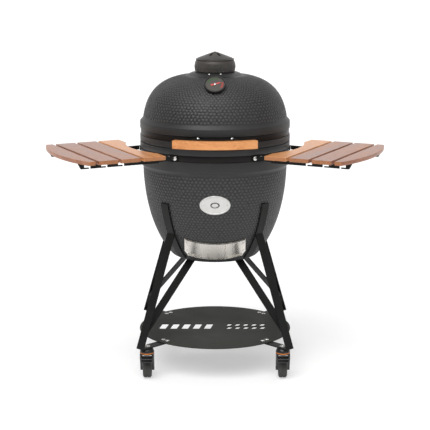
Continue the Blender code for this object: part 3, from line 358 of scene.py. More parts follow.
# A paint, casting or sheet metal: patchy colour, worn sheen and a fine skin.
def coatedFinish(name, look):
    finish, tree, shader = newFinish(name, Metallic=look.get("metal", 0.0),
                                     Specular_IOR_Level=look.get("gloss", 0.5))
    place = ownCoords(tree, look.get("stretch", (1, 1, 1)))
    patches = noiseOf(tree, place, look["patchScale"], 4)
    grains = noiseOf(tree, place, look["grainScale"], 2, 0.6)
    tones = maths(tree, "ADD", maths(tree, "MULTIPLY", patches, 0.65),
                  maths(tree, "MULTIPLY", grains, 0.35))
    low, high = 1 - look["contrast"], 1 + look["contrast"]
    colours = colourRun(tree, tones, [(0.32, shade(look["colour"], low)),
                                      (0.68, shade(look["colour"], high))])
    tree.links.new(colours, shader.inputs["Base Color"])
    rough = spread(tree, patches, 0.3, 0.7, look["rough"] - 0.07, look["rough"] + 0.07)
    tree.links.new(rough, shader.inputs["Roughness"])
    roughen(tree, shader, grains, look["skin"], look.get("skinDepth", 0.0004))
    return finish


coats = {
    "bandSteel": dict(colour=(.008, .0065, .006), metal=.2, gloss=.25, rough=.42, patchScale=9,
                      grainScale=260, contrast=.35, skin=.25),
    "blackSteel": dict(colour=(.0062, .0066, .0058), gloss=.20, rough=.50, patchScale=14, grainScale=900,
                       contrast=.30, skin=.35),
    "shelfGrey": dict(colour=(.030, .0316, .0265), gloss=.10, rough=.62, patchScale=8, grainScale=800,
                      contrast=.22, skin=.35),
    "stainless": dict(colour=(.78, .75, .70), metal=1.0, rough=.27, patchScale=9, grainScale=160,
                      contrast=.04, skin=.015, stretch=(5, 5, .3)),
    "grateSteel": dict(colour=(.50, .48, .45), metal=1.0, rough=.34, patchScale=30, grainScale=300,
                       contrast=.20, skin=.20),
    "castAluminium": dict(colour=(.66, .655, .64), metal=.7, rough=.42, patchScale=40,
                          grainScale=500, contrast=.10, skin=.30),
    "emblemField": dict(colour=(.16, .155, .15), metal=.8, rough=.50, patchScale=60,
                        grainScale=600, contrast=.20, skin=.45),
    "castIron": dict(colour=(.060, .054, .049), metal=.35, rough=.50, patchScale=25, grainScale=420,
                     contrast=.35, skin=.6, skinDepth=.0007),
    "fireClay": dict(colour=(.42, .36, .29), rough=.88, patchScale=12, grainScale=220,
                     contrast=.20, skin=.6, skinDepth=.0008),
    "felt": dict(colour=(.030, .030, .031), rough=.93, patchScale=30, grainScale=700,
                 contrast=.35, skin=.9, skinDepth=.0012),
    "glossBlack": dict(colour=(.010, .010, .011), rough=.20, patchScale=20, grainScale=500,
                       contrast=.30, skin=.08),
    "orangeRing": dict(colour=(.85, .24, .03), rough=.40, patchScale=60, grainScale=700,
                       contrast=.15, skin=.15),
    "tyre": dict(colour=(.045, .045, .043), rough=.72, patchScale=40, grainScale=700,
                 contrast=.25, skin=.4),
    "wheelHub": dict(colour=(.16, .16, .155), rough=.50, patchScale=50, grainScale=600,
                     contrast=.20, skin=.3),
    "zincBolt": dict(colour=(.72, .71, .69), metal=1.0, rough=.28, patchScale=80, grainScale=900,
                     contrast=.12, skin=.12),
    "needleRed": dict(colour=(.62, .085, .085), rough=.38, patchScale=200, grainScale=1500,
                      contrast=.12, skin=.1),
    "bezelBlack": dict(colour=(.016, .015, .015), metal=.3, rough=.32, patchScale=40,
                       grainScale=700, contrast=.30, skin=.15),
}
finishes = {name: coatedFinish(name, look) for name, look in coats.items()}

# Glazed stoneware: matt, mottled, with fine pits in the glaze, a painted highlight on the stones' high
# spots and painted shade in the grooves.
# the last two colours are painted light: painted shade for the grooves and a painted highlight for the
# stones' tops
glaze = {"groove": (.0012, .0012, .0013), "low": (.0155, .0157, .0160), "high": (.026, .0262, .0265),
         "crown": (.055, .0555, .056), "rough": .45, "pits": .30}


def ceramicFinish(name):
    finish, tree, shader = newFinish(name, Specular_IOR_Level=0.42)
    place = ownCoords(tree)
    clouds = noiseOf(tree, place, 7, 4, 0.55, 0.3)
    specks = noiseOf(tree, place, 420, 3, 0.65)
    tones = maths(tree, "ADD", maths(tree, "MULTIPLY", clouds, 0.5),
                  maths(tree, "MULTIPLY", specks, 0.5))
    colours = colourRun(tree, tones, [(0.35, glaze["low"]), (0.65, glaze["high"])])
    # painted highlight on the stones' tops and painted shade in the grooves, both taken from the crown
    # height
    crown = addNode(tree, "Attribute", attribute_name="crown").outputs["Fac"]
    paintedHighlightMask = spread(tree, crown, .0001, pebbles["height"] * .36, 0, 0.8)
    grooves = spread(tree, crown, -.0002, -pebbles["height"] * .5, 0, 0.85)
    colours = blendColours(tree, paintedHighlightMask, colours, glaze["crown"])
    colours = blendColours(tree, grooves, colours, glaze["groove"])
    tree.links.new(colours, shader.inputs["Base Color"])
    tree.links.new(spread(tree, clouds, 0.3, 0.7, glaze["rough"] - .06, glaze["rough"] + .08),
                   shader.inputs["Roughness"])
    roughen(tree, shader, specks, glaze["pits"], 0.0006)
    return finish


# Oiled hardwood. grainTurn swings the piece's own axes so that its grain runs along Y.
def woodFinish(name, look, grainTurn):
    finish, tree, shader = newFinish(name, Specular_IOR_Level=0.5)
    coords = addNode(tree, "TexCoord")

    def swung(vector):
        turned = addNode(tree, "VectorRotate", {"Vector": vector, "Angle": grainTurn},
                         rotation_type="Z_AXIS")
        return turned.outputs[0]

    shift = (look["seed"] * 0.37, look["seed"] * 0.11, 0)
    place = addNode(tree, "Mapping", {"Vector": swung(coords.outputs["Object"]),
                                      "Location": shift, "Scale": (1, 0.09, 1)}).outputs[0]
    figure = noiseOf(tree, place, 26, 5, 0.55, 0.8)
    fibres = noiseOf(tree, place, 260, 4, 0.65)
    pores = noiseOf(tree, place, 620, 2, 0.5)
    tones = maths(tree, "ADD", maths(tree, "MULTIPLY", figure, 0.62),
                  maths(tree, "MULTIPLY", fibres, 0.38))
    colours = colourRun(tree, tones, [(0.34, look["dark"]), (0.47, look["middle"]),
                                      (0.64, look["light"])])
    colours = blendColours(tree, spread(tree, pores, 0.60, 0.72, 0, 0.55), colours,
                           shade(look["dark"], 0.55))
    facing = addNode(tree, "SeparateXYZ", {0: swung(coords.outputs["Normal"])})
    end = maths(tree, "ABSOLUTE", facing.outputs["Y"])
    rings = noiseOf(tree, ownCoords(tree), 180, 4, 0.6)
    endColours = colourRun(tree, rings, [(0.35, shade(look["end"], 0.72)), (0.65, look["end"])])
    colours = blendColours(tree, spread(tree, end, 0.75, 0.9, 0, 0.85), colours, endColours)
    tree.links.new(colours, shader.inputs["Base Color"])
    tree.links.new(spread(tree, figure, 0.3, 0.7, look["rough"] - .06, look["rough"] + .08),
                   shader.inputs["Roughness"])
    roughen(tree, shader, fibres, 0.35, 0.0005)
    return finish


print("finishes made:", len(finishes))


eggShape = {"baseWaist": .069, "baseInset": .0112, "baseDrop": .4391, "basePower": 2.163,
            "domeWaist": .0297, "domeInset": .0074, "domeRise": .2745, "domePower": 3.286,
            "wall": .025, "floor": .030, "rimChamfer": .012, "lidRim": .038, "baseRim": .050,
            "bandSeat": .0051, "bandGap": .0005, "round": .0022, "neckWall": .033,
            "neckLip": .010, "neckDrop": .004, "neckFlare": .022, "neckRound": .006,
            "chimney": .050, "limit": 55}
pebbles = {"columns": 114, "across": 5, "along": 5, "rowShare": .76, "height": .0030,
           "jitter": .16, "fade": .030, "rimFade": .006}


def baseRadius(height, inset=0.0):
    fall = max(0.0, (seam - eggShape["baseWaist"] - height) / (eggShape["baseDrop"] - inset))
    widest = rimRadius - eggShape["baseInset"] - inset
    return widest * (1 - fall ** eggShape["basePower"]) ** (1 / eggShape["basePower"])


def domeRadius(height, inset=0.0):
    rise = (height - seam + eggShape["domeWaist"]) / (eggShape["domeRise"] - inset)
    widest = rimRadius - eggShape["domeInset"] - inset
    return widest * (1 - max(0.0, rise) ** eggShape["domePower"]) ** (1 / eggShape["domePower"])


def domeHeight(radius, inset=0.0):
    share = radius / (rimRadius - eggShape["domeInset"] - inset)
    rise = (1 - share ** eggShape["domePower"]) ** (1 / eggShape["domePower"])
    return seam - eggShape["domeWaist"] + (eggShape["domeRise"] - inset) * rise


# Walks a curve in steps that keep the pebbles' proportions, and tells each row's
# place in the pattern: how many pebbles down it is.
def pebbleRows(line):
    fine = np.array(line)
    gaps = np.linalg.norm(np.diff(fine, axis=0), axis=1)
    middle = (fine[1:, 0] + fine[:-1, 0]) / 2
    pitch = 2 * pi * middle / pebbles["columns"] * pebbles["rowShare"]
    counted = np.concatenate(([0], np.cumsum(gaps / pitch)))
    rows = np.arange(0, counted[-1], 1 / pebbles["along"])
    return rows, np.stack([np.interp(rows, counted, fine[:, k]) for k in (0, 1)], -1)


# Height of the pebbled skin at each row and segment: rounded stones in staggered rows.
def pebbleLift(rows, segments):
    columns = pebbles["columns"]
    u = np.arange(segments)[None, :] * columns / segments
    v = rows[:, None]
    lines = int(rows.max()) + 4
    wander = random.uniform(-1, 1, (2, lines, columns)) * pebbles["jitter"]
    size = random.uniform(0.85, 1.1, (lines, columns))
    nearest = np.full((len(rows), segments), 9.0)
    second = np.full((len(rows), segments), 9.0)
    for down in (-1, 0, 1, 2):
        line = np.floor(v).astype(int) + down
        stagger = 0.5 * (line % 2)
        for over in (-1, 0, 1, 2):
            column = np.floor(u - stagger).astype(int) + over
            pick = (np.clip(line + 1, 0, lines - 1), column % columns)
            du = u - (column + stagger + wander[0][pick])
            dv = (v - (line + wander[1][pick])) * pebbles["rowShare"]
            far = np.hypot(du, dv) / size[pick]
            second = np.minimum(second, np.maximum(nearest, far))
            nearest = np.minimum(nearest, far)
    seamWidth = np.clip((second - nearest) / 0.42, 0, 1)
    crown = np.clip(1 - (nearest / 0.72) ** 2, 0, 1)
    stone = seamWidth ** 0.75 * 0.55 + crown * 0.45
    return (stone - 0.62) * pebbles["height"]


def fadeEnds(line, startFade, endFade):
    gaps = np.linalg.norm(np.diff(line, axis=0), axis=1)
    travel = np.concatenate(([0], np.cumsum(gaps)))
    start = np.clip(travel / startFade, 0, 1)
    end = np.clip((travel[-1] - travel) / endFade, 0, 1)
    return start * end


def pebbledShell(name, before, line, after, fades, ends):
    segments = pebbles["columns"] * pebbles["across"]
    rows, skin = pebbleRows(line)
    lift = pebbleLift(rows, segments) * fadeEnds(skin, *fades)[:, None]
    profile = list(before) + skin.tolist() + list(after)
    everyRow = np.zeros((len(profile), segments))
    everyRow[len(before):len(before) + len(skin)] = lift
    return turnShape(name, profile, segments, ends, everyRow, limit=eggShape["limit"])


def rimLine(top, bandLow, bandHigh, bottom):  # down the outside of a rim, round its band
    seat = rimRadius - eggShape["bandSeat"]
    upper = bandHigh + eggShape["bandGap"]
    lower = bandLow - eggShape["bandGap"]
    return [(rimRadius, top), (rimRadius, upper), (seat, upper), (seat, lower),
            (rimRadius, lower), (rimRadius, bottom)]


ceramic = ceramicFinish("ceramicGlaze")
lidBandLow, lidBandHigh = heightsOf("lid_band")
baseBandLow, baseBandHigh = heightsOf("base_band")


def makeLidShell():
    neck = eggShape["chimney"] + eggShape["neckWall"]
    chamfer = eggShape["rimChamfer"]
    rimTop = lidBandHigh + eggShape["bandGap"] + eggShape["lidRim"]
    flare = neck + eggShape["neckFlare"]
    shoulder = [(eggShape["chimney"], neckTop), (neck, neckTop),
                (neck + eggShape["neckLip"], neckTop - eggShape["neckDrop"]),
                (flare, domeHeight(flare))]
    before = easeCorners(shoulder, eggShape["neckRound"], 5)[:-1]
    first = acos((flare / (rimRadius - eggShape["domeInset"])) ** (eggShape["domePower"] / 2))
    rimShare = (rimTop - seam + eggShape["domeWaist"]) / eggShape["domeRise"]
    last = asin(rimShare ** (eggShape["domePower"] / 2))
    line = []
    for angle in np.linspace(first, last, 400):
        radius = (rimRadius - eggShape["domeInset"]) * cos(angle) ** (2 / eggShape["domePower"])
        rise = eggShape["domeRise"] * sin(angle) ** (2 / eggShape["domePower"])
        line.append((radius, seam - eggShape["domeWaist"] + rise))
    rim = [line[-1]] + rimLine(rimTop - chamfer, lidBandLow, lidBandHigh, lidBottom)
    inner = [(domeRadius(height, eggShape["wall"]), height)
             for height in np.linspace(lidBottom, neckTop - .045, 14)]
    after = easeCorners(rim + inner[:1], eggShape["round"], 3)[1:-1] + inner
    after += [(eggShape["chimney"], domeHeight(eggShape["chimney"], eggShape["wall"]))]
    lid = pebbledShell("lidShell", before, line, after,
                       (pebbles["fade"], pebbles["rimFade"]), "joined")
    return finishPiece(lid, ceramic, "lid", ["lid_shell"])


draft = {"window": (radians(-18.5), radians(8)), "windowHeight": .046, "span": radians(29),
         "height": .076, "rail": .0055, "plate": .0025, "railProud": .004, "corner": .013,
         "pull": .0095, "play": .0006, "sheet": .0015, "lap": radians(1.5), "step": .006}
draftPlace = pinOf("draft_slide")  # on the leaning axis that the frame is bent round
draftLean = leanOf("draft_slide")
draftMiddle = baseBottom + .048
draftRadius = baseRadius(draftMiddle) / cos(draftLean)


def draftCutter(play):
    start, end = draft["window"]
    middle = (start + end) / 2
    width = 2 * draftRadius * sin((end - start) / 2) + play
    cutter = newObject("windowCutter", boxMesh("windowCutter", (width, draftRadius,
                                                                draft["windowHeight"] + play)))
    lean = Matrix.Translation(draftPlace) @ Matrix.Rotation(draftLean, 4, "X")
    cutter.matrix_world = lean @ Matrix.Translation((draftRadius * sin(middle), -draftRadius, 0))
    return cutter


def draftSeatCutter():
    reach = draft["span"] + .002 / draftRadius
    outline = frontArc(draftRadius + .025, -reach, reach, 40)
    outline += frontArc(draftRadius - .0003, reach, -reach, 40)
    tall = draft["height"] / 2 + .002
    cutter = newObject("seatCutter", plateMesh("seatCutter", [outline], -tall, tall))
    cutter.matrix_world = Matrix.Translation(draftPlace) @ Matrix.Rotation(draftLean, 4, "X")
    return cutter


def makeBaseShell():
    chamfer = eggShape["rimChamfer"]
    rimBottom = baseBandLow - eggShape["bandGap"] - eggShape["baseRim"]
    inside = rimRadius - eggShape["baseInset"] - eggShape["wall"]
    floorTop = baseBottom + eggShape["floor"]
    inner = [(.02, floorTop)]
    inner += [(baseRadius(height, eggShape["wall"]), height)
              for height in np.linspace(floorTop, seam - eggShape["baseWaist"], 14)]
    inner += [(inside, baseTop)]
    rim = rimLine(baseTop, baseBandLow, baseBandHigh, rimBottom + chamfer)
    foot = (baseRadius(rimBottom), rimBottom)
    before = inner + easeCorners([inner[-1]] + rim + [foot], eggShape["round"], 3)[1:-1]
    falls = (baseBottom - rimBottom) * np.sin(np.linspace(0, pi / 2, 500))
    line = [(baseRadius(height), height) for height in rimBottom + falls]
    after = [(line[-1][0] - .006, baseBottom), (.02, baseBottom)]
    base = pebbledShell("baseShell", before, line, after, (pebbles["rimFade"], .01), "capped")
    cutAway(base, draftSeatCutter())
    cutAway(base, draftCutter(.002))
    smoothSides(base, eggShape["limit"])
    return finishPiece(base, ceramic, "frame", ["base_shell"])


makeLidShell()
makeBaseShell()
print("egg shells made")


band = {"thick": .0018, "round": .0006, "segments": 192}


def makeBand(name, node, body):
    low, high = heightsOf(node)
    outer, inner = bandRadius, bandRadius - band["thick"]
    section = [(inner, high), (outer, high), (outer, low), (inner, low)]
    profile = easeCorners(section, band["round"], 2, True)
    strip = turnShape(name, profile, band["segments"], "joined")
    return finishPiece(strip, finishes["bandSteel"], body, [node])


felt = {"inset": .006, "round": .0012, "fuzz": .00012, "segments": 240}


def makeFelt():
    low, high = heightsOf("lid_gasket")
    outer = reachOf("lid_gasket")
    inner = rimRadius - eggShape["baseInset"] - eggShape["wall"] + felt["inset"]
    section = [(inner, high), (outer, high), (outer, low), (inner, low)]
    profile = easeCorners(section, felt["round"], 3, True)
    fuzz = random.uniform(-1, 1, (len(profile), felt["segments"])) * felt["fuzz"]
    ring = turnShape("lidFelt", profile, felt["segments"], "joined", fuzz)
    return finishPiece(ring, finishes["felt"], "lid", ["lid_gasket"])


clay = {"gap": .006, "fireboxWall": .018, "ringWall": .016, "ledge": .060, "round": .003,
        "segments": 128}


def makeFirebox():
    low, high = heightsOf("firebox")
    inset = eggShape["wall"] + clay["gap"]
    outer = [(baseRadius(z, inset), z) for z in np.linspace(high, low, 16)]
    throat = outer[-1][0] - clay["fireboxWall"]
    ledge = low + clay["ledge"]
    inner = [(baseRadius(z, inset) - clay["fireboxWall"], z) for z in np.linspace(ledge, high, 12)]
    profile = easeCorners(outer + [(throat, low), (throat, ledge)] + inner, clay["round"], 3, True)
    box = turnShape("firebox_", profile, clay["segments"], "joined")
    cutAway(box, draftCutter(.004))
    smoothSides(box)
    return finishPiece(box, finishes["fireClay"], "frame", ["firebox"])


def makeFireRing():
    low, high = heightsOf("fire_ring")
    inset = eggShape["wall"] + clay["gap"]
    outer = [(baseRadius(z, inset), z) for z in np.linspace(high, low, 12)]
    inner = [(radius - clay["ringWall"], z) for radius, z in outer[::-1]]
    profile = easeCorners(outer + inner, clay["round"], 3, True)
    ring = turnShape("fireRing", profile, clay["segments"], "joined")
    return finishPiece(ring, finishes["fireClay"], "frame", ["fire_ring"])


grille = {"wire": .003, "pitch": .022, "crossWires": (-.12, 0, .12)}


def makeCookingGrate():
    low, high = heightsOf("cooking_grate")
    reach = reachOf("cooking_grate") - grille["wire"]
    middle = (low + high) / 2
    lines = [[(x, y, middle) for x, y in arcLine(reach, 0, 2 * pi, 120)[:-1]]]
    rows = int(reach / grille["pitch"] - 0.5)
    for row in range(-rows - 1, rows + 1):
        y = (row + 0.5) * grille["pitch"]
        half = sqrt(reach ** 2 - y ** 2)
        lines.append([(-half, y, middle), (half, y, middle)])
    lines += [[(x, -sqrt(reach ** 2 - x ** 2), middle), (x, sqrt(reach ** 2 - x ** 2), middle)]
              for x in grille["crossWires"]]
    mesh = wireMesh("cookingGrate", lines, grille["wire"], looped=[0])
    grate = smoothSides(newObject("cookingGrate", mesh, eggAxis))
    return finishPiece(grate, finishes["grateSteel"], "grate", ["cooking_grate"])


makeBand("lidBand", "lid_band", "lid")
makeBand("baseBand", "base_band", "frame")
makeFelt()
makeFirebox()
makeFireRing()
makeCookingGrate()
print("bands, felt and fire pieces made")


fasteners = {"head": {"radius": .0052, "height": .0030, "socket": .0024, "washer": .0075},
             "large": {"radius": .0085, "height": .0055, "socket": .0040, "washer": .0120},
             "small": {"radius": .0032, "height": .0016, "socket": .0014, "washer": 0}}


def boltMesh(kind):
    size = fasteners[kind]
    radius, high = size["radius"], size["height"]
    profile = [(.0002, high * .35), (size["socket"] * .95, high * .38), (size["socket"], high)]
    crown = [(radius * sin(a), high * .25 + high * .75 * cos(a) ** .8)
             for a in np.linspace(.45, pi / 2, 7)[:-1]]
    profile += crown + [(radius, 0)]
    if size["washer"]:
        rim = size["washer"]
        profile = profile[:-1] + [(radius, .0012), (rim - .0004, .0012), (rim, .0008), (rim, 0)]
    profile += [(.0002, 0)]
    turned = turnShape("bolt_" + kind, profile, 24, "capped", limit=50)
    mesh = turned.data
    bpy.data.objects.remove(turned, do_unlink=True)
    return mesh


boltMeshes = {kind: boltMesh(kind) for kind in fasteners}


def addBolt(name, place, facing, body, kind="head"):
    bolt = newObject(name, boltMeshes[kind].copy(), place)
    bolt.rotation_euler = Vector(facing).to_track_quat("Z", "Y").to_euler()
    return finishPiece(bolt, finishes["zincBolt"], body)


def roundEgg(radius, bearing, height):  # a place round the egg; bearing 0 is the front
    return Vector((radius * sin(bearing), eggY - radius * cos(bearing), height))


def facingOut(bearing):
    return Vector((sin(bearing), -cos(bearing), 0))


capLook = {"ribs": 44, "ribHeight": .0011, "segments": 264, "foot": .004, "joint": .005,
           "shoulder": .010, "widest": .024, "edge": .002, "wall": .010, "slots": 6,
           "slotFrom": .016, "slotTo": .038, "slotWidth": .009}


def slotCutter(name, height, place, turn):
    mesh = bpy.data.meshes.new(name)
    shape = bmesh.new()
    reach = (capLook["slotFrom"] + capLook["slotTo"]) / 2
    size = Vector((capLook["slotTo"] - capLook["slotFrom"], capLook["slotWidth"], height))
    for i in range(capLook["slots"]):
        block = bmesh.ops.create_cube(shape, size=1)["verts"]
        bmesh.ops.scale(shape, vec=size, verts=block)
        bmesh.ops.translate(shape, vec=(reach, 0, 0), verts=block)
        around = Matrix.Rotation(turn + 2 * pi * i / capLook["slots"], 3, "Z")
        bmesh.ops.rotate(shape, cent=(0, 0, 0), matrix=around, verts=block)
    shape.to_mesh(mesh)
    shape.free()
    return newObject(name, mesh, place)


def makeCapCollar():
    low, high = heightsOf("cap_collar")
    radius = reachOf("cap_collar")
    foot = low + capLook["foot"]
    edge = capLook["edge"]
    eave = radius - .005
    outer = [(.004, high), (eave - edge, high), (radius - edge, high - capLook["shoulder"]),
             (radius, high - capLook["widest"]), (radius - edge, foot),
             (radius - capLook["joint"], foot), (radius - capLook["joint"], low),
             (radius - capLook["wall"], low), (radius - capLook["wall"], high - .003),
             (.004, high - .003)]
    profile = easeCorners(outer, .0014, 3)
    line = []
    for (r0, z0), (r1, z1) in zip(profile, profile[1:]):  # more rows where the ribs run
        steps = max(1, int(abs(z1 - z0) / .0035))
        line += [(r0 + (r1 - r0) * i / steps, z0 + (z1 - z0) * i / steps) for i in range(steps)]
    line.append(profile[-1])
    segments = capLook["segments"]
    angles = np.arange(segments) * 2 * pi / segments
    ribs = np.clip(np.cos(angles * capLook["ribs"]) * 1.6, -1, 1) * capLook["ribHeight"] / 2
    ribTop = high - capLook["widest"] + .006
    lift = np.zeros((len(line), segments))
    for row, (r, z) in enumerate(line):
        if foot + .001 < z < ribTop and r > radius - .0035:
            lift[row] = ribs - capLook["ribHeight"] / 2
    collar = turnShape("capCollar", line, segments, "capped", lift, limit=60)
    top = eggAxis + Vector((0, 0, high))
    cutAway(collar, slotCutter("collarSlots", .012, top, pi / 6))
    smoothSides(collar, 45)
    return finishPiece(collar, finishes["castIron"], "lid", ["cap_collar"])


def makeCapRoof():
    low, high = heightsOf("cap_roof")
    eave = reachOf("cap_roof")
    profile = [(.002, high), (.009, high - .0022), (eave - .007, low + .0065),
               (eave - .005, low + .0038), (eave, low + .0034), (eave, low),
               (eave - .005, low), (.006, high - .0062), (.002, high - .0062)]
    line = easeCorners(profile, .0014, 3)
    roof = turnShape("capRoof", line, 144, "capped")
    cutAway(roof, slotCutter("roofSlots", .12, eggAxis + Vector((0, 0, low)), 0))
    smoothSides(roof, 40)
    return finishPiece(roof, finishes["castIron"], "cap", ["cap_roof"])


makeCapCollar()
makeCapRoof()
neckScrews = {"radius": eggShape["chimney"] + eggShape["neckWall"] + .0055,
              "bearing": radians(14), "sunk": .0005, "tilt": 1.2}
for side, bearing in (("left", -neckScrews["bearing"]), ("right", neckScrews["bearing"])):
    place = roundEgg(neckScrews["radius"], bearing, neckTop - neckScrews["sunk"])
    facing = facingOut(bearing) + Vector((0, 0, neckScrews["tilt"]))
    addBolt("neckScrew_" + side, place, facing, "lid", "small")
print("vent cap made")


dial = {"bezel": .0035, "recess": .0030, "depth": .012, "stem": .004, "stemLength": .070,
        "needleTail": .016, "needleTip": .022, "needleWide": .0032, "needleRest": radians(20)}
dialPlace = pinOf("needle_turn")
dialTurn = (leanOf("needle_turn"), 0, 0)


def dialFinish(name, radius):
    finish, tree, shader = newFinish(name, Roughness=0.35)
    coords = addNode(tree, "TexCoord").outputs["Object"]
    parts = addNode(tree, "SeparateXYZ", {0: coords})
    angle = maths(tree, "ARCTAN2", parts.outputs["Y"], parts.outputs["X"])
    flat = addNode(tree, "CombineXYZ", {"X": parts.outputs["X"], "Y": parts.outputs["Y"]})
    reach = addNode(tree, "VectorMath", {0: flat.outputs[0]}, operation="LENGTH").outputs["Value"]
    share = maths(tree, "DIVIDE", reach, radius)

    def between(value, low, high):
        above = maths(tree, "GREATER_THAN", value, low)
        return maths(tree, "MULTIPLY", above, maths(tree, "LESS_THAN", value, high))

    grain = noiseOf(tree, coords, 900, 2)
    colours = colourRun(tree, grain, [(0.3, (.060, .056, .049)), (0.7, (.100, .092, .082))])
    edge = between(share, 0.66, 0.86)
    green = maths(tree, "MULTIPLY", edge, between(angle, 1.15, 2.9))
    colours = blendColours(tree, green, colours, (.045, .085, .035))
    red = maths(tree, "MULTIPLY", edge, between(angle, -0.75, 0.35))
    colours = blendColours(tree, red, colours, (.30, .05, .04))
    turns = maths(tree, "FRACT", maths(tree, "MULTIPLY", angle, 40 / (2 * pi)))
    ticks = maths(tree, "MULTIPLY", between(turns, 0.0, 0.22), between(share, 0.86, 0.97))
    colours = blendColours(tree, ticks, colours, (.02, .02, .02))
    ring = between(share, 0.42, 0.45)
    colours = blendColours(tree, ring, colours, (.05, .05, .05))
    tree.links.new(colours, shader.inputs["Base Color"])
    roughen(tree, shader, grain, 0.08, 0.0002)
    return finish


def makeThermometer():
    front = dial["depth"]
    radius = reachOf("thermometer_case")
    window = radius - dial["bezel"]
    face = front - dial["recess"]
    bezel = [(window - .0015, face), (window - .0005, face + .0004), (window, front - .0008),
             (window + .0012, front), (radius - .0010, front - .0003), (radius, front - .0016),
             (radius, .0022), (radius - .0022, 0), (dial["stem"], 0),
             (dial["stem"], -dial["stemLength"]), (.0005, -dial["stemLength"])]
    # the profile starts on the floor that the dial sits on, and ends at the stem's tip
    case = turnShape("thermometerCase", easeCorners(bezel, .0008, 2), 96, "capped",
                     place=dialPlace, turn=dialTurn)
    finishPiece(case, finishes["bezelBlack"], "lid", ["thermometer_case"])
    plate = [(.0008, face + .0004), (window - .0008, face + .0004), (window - .0008, face - .0004),
             (.0008, face - .0004)]
    disc = turnShape("thermometerDial", plate, 96, "capped", place=dialPlace, turn=dialTurn)
    finishPiece(disc, dialFinish("dialFace", window), "lid")
    tip = dial["needleTip"]
    wide = dial["needleWide"]
    outline = [(-dial["needleTail"], -wide * 1.3), (0, -wide), (tip * .8, -wide * .8), (tip, 0),
               (tip * .8, wide * .8), (0, wide), (-dial["needleTail"], wide * 1.3)]
    mesh = plateMesh("thermometerNeedle", [outline], face + .0008, face + .0018)
    needle = newObject("thermometerNeedle", mesh, dialPlace, dialTurn)
    needle.rotation_euler = (Matrix.Rotation(dialTurn[0], 3, "X")
                             @ Matrix.Rotation(dial["needleRest"], 3, "Z")).to_euler()
    roundEdges(needle, .0002, 1)
    finishPiece(needle, finishes["needleRed"], "needle", ["thermometer_needle"])
    cap = [(.0004, face + .0030), (.0028, face + .0028), (.0042, face + .0020),
           (.0042, face + .0008), (.0004, face + .0008)]
    hub = turnShape("needleHub", easeCorners(cap, .0005, 2), 32, "capped", place=dialPlace,
                    turn=dialTurn)
    finishPiece(hub, finishes["zincBolt"], "needle")


makeThermometer()
print("thermometer made")


handle = {"inner": .320, "depth": .023, "span": .293, "round": .0058,
          "boltBearing": radians(12.6), "boltOut": .0033, "boltUp": .003}
handleWood = woodFinish("handleWood", dict(dark=(.50, .185, .052), middle=(.70, .290, .098),
                                           light=(.82, .390, .150), end=(.70, .30, .11),
                                           rough=.40, seed=3), pi / 2)


def makeHandle():
    low, high = heightsOf("handle_bar")
    outer = handle["inner"] + handle["depth"]
    half = asin(handle["span"] / 2 / (handle["inner"] + handle["depth"] / 2))
    outline = frontArc(outer, -half, half, 48) + frontArc(handle["inner"], half, -half, 48)
    bar = newObject("handleBar", plateMesh("handleBar", [outline], low, high), eggAxis)
    roundEdges(bar, handle["round"], 5, 50)
    finishPiece(bar, handleWood, "lid", ["handle_bar"])
    height = (lidBandLow + lidBandHigh) / 2 + handle["boltUp"]
    for side, way in (("left", -1), ("right", 1)):
        bearing = way * handle["boltBearing"]
        place = roundEgg(bandRadius + handle["boltOut"], bearing, height)
        addBolt("handleBolt_" + side, place, facingOut(bearing), "lid")


makeHandle()
print("handle made")


def makeDraft():
    lean = Matrix.Translation(draftPlace) @ Matrix.Rotation(draftLean, 4, "X")
    half = draft["height"] / 2
    reach = draft["span"] * draftRadius
    corner = draft["corner"]
    outline = [(-reach + corner, -half), (reach - corner, -half), (reach, -half + corner),
               (reach, half), (-reach, half), (-reach, -half + corner)]
    start, end = (angle * draftRadius for angle in draft["window"])
    tall = draft["windowHeight"] / 2
    window = roundedBox(start, -tall, end, tall, .003)
    mesh = plateMesh("draughtFrame", [outline, window[::-1]], 0, draft["plate"])
    plate = newObject("draughtFrame", bendRound(mesh, draftRadius, draft["step"]))
    plate.matrix_world = lean
    roundEdges(plate, .0005, 2)
    finishPiece(plate, finishes["stainless"], "frame", ["draft_frame"])
    for name, middle, inset in (("upper", half - draft["rail"] / 2, .002),
                                ("lower", -half + draft["rail"] / 2, corner)):
        low, high = middle - draft["rail"] / 2 + .0004, middle + draft["rail"] / 2 - .0004
        line = roundedBox(-reach + inset, low, reach - inset, high, .0015, 3)
        mesh = plateMesh("rail", [line], draft["plate"] * .8, draft["plate"] + draft["railProud"])
        rail = newObject("draughtRail_" + name, bendRound(mesh, draftRadius, draft["step"]))
        rail.matrix_world = lean
        roundEdges(rail, .0008, 2)
        finishPiece(rail, finishes["stainless"], "frame")
    inner = draftRadius + draft["plate"] + draft["play"]
    outer = inner + draft["sheet"]
    first = draft["window"][0] - draft["lap"]
    last = draft["window"][1] + draft["lap"]
    fold = last - draft["sheet"] / outer
    tall = half - draft["rail"] - .0008
    sheet = frontArc(outer, first, fold, 24) + frontArc(outer + draft["pull"], fold, last, 1)
    sheet += frontArc(inner, last, first, 24)
    door = newObject("draughtDoor", plateMesh("draughtDoor", [sheet], -tall, tall))
    door.matrix_world = lean
    roundEdges(door, .0004, 2)
    finishPiece(door, finishes["stainless"], "door", ["draft_door"])
    for side, way in (("left", -1), ("right", 1)):
        for level, up in (("upper", .020), ("lower", -.018)):
            bearing = way * (draft["span"] - radians(2.6))
            spot = (draftRadius + draft["plate"]) * facingOut(bearing) + Vector((0, 0, up))
            addBolt(f"draughtScrew_{side}_{level}", lean @ spot,
                    lean.to_3x3() @ facingOut(bearing), "frame", "small")


makeDraft()


emblem = {"lift": .0006, "plate": .0014, "rim": .0016, "rimWidth": .0050, "boss": .0026,
          "bossReach": .20, "sunkTo": .30, "sunk": .0008, "flutes": 8, "screwInset": .0125,
          "rings": 46, "segments": 120}


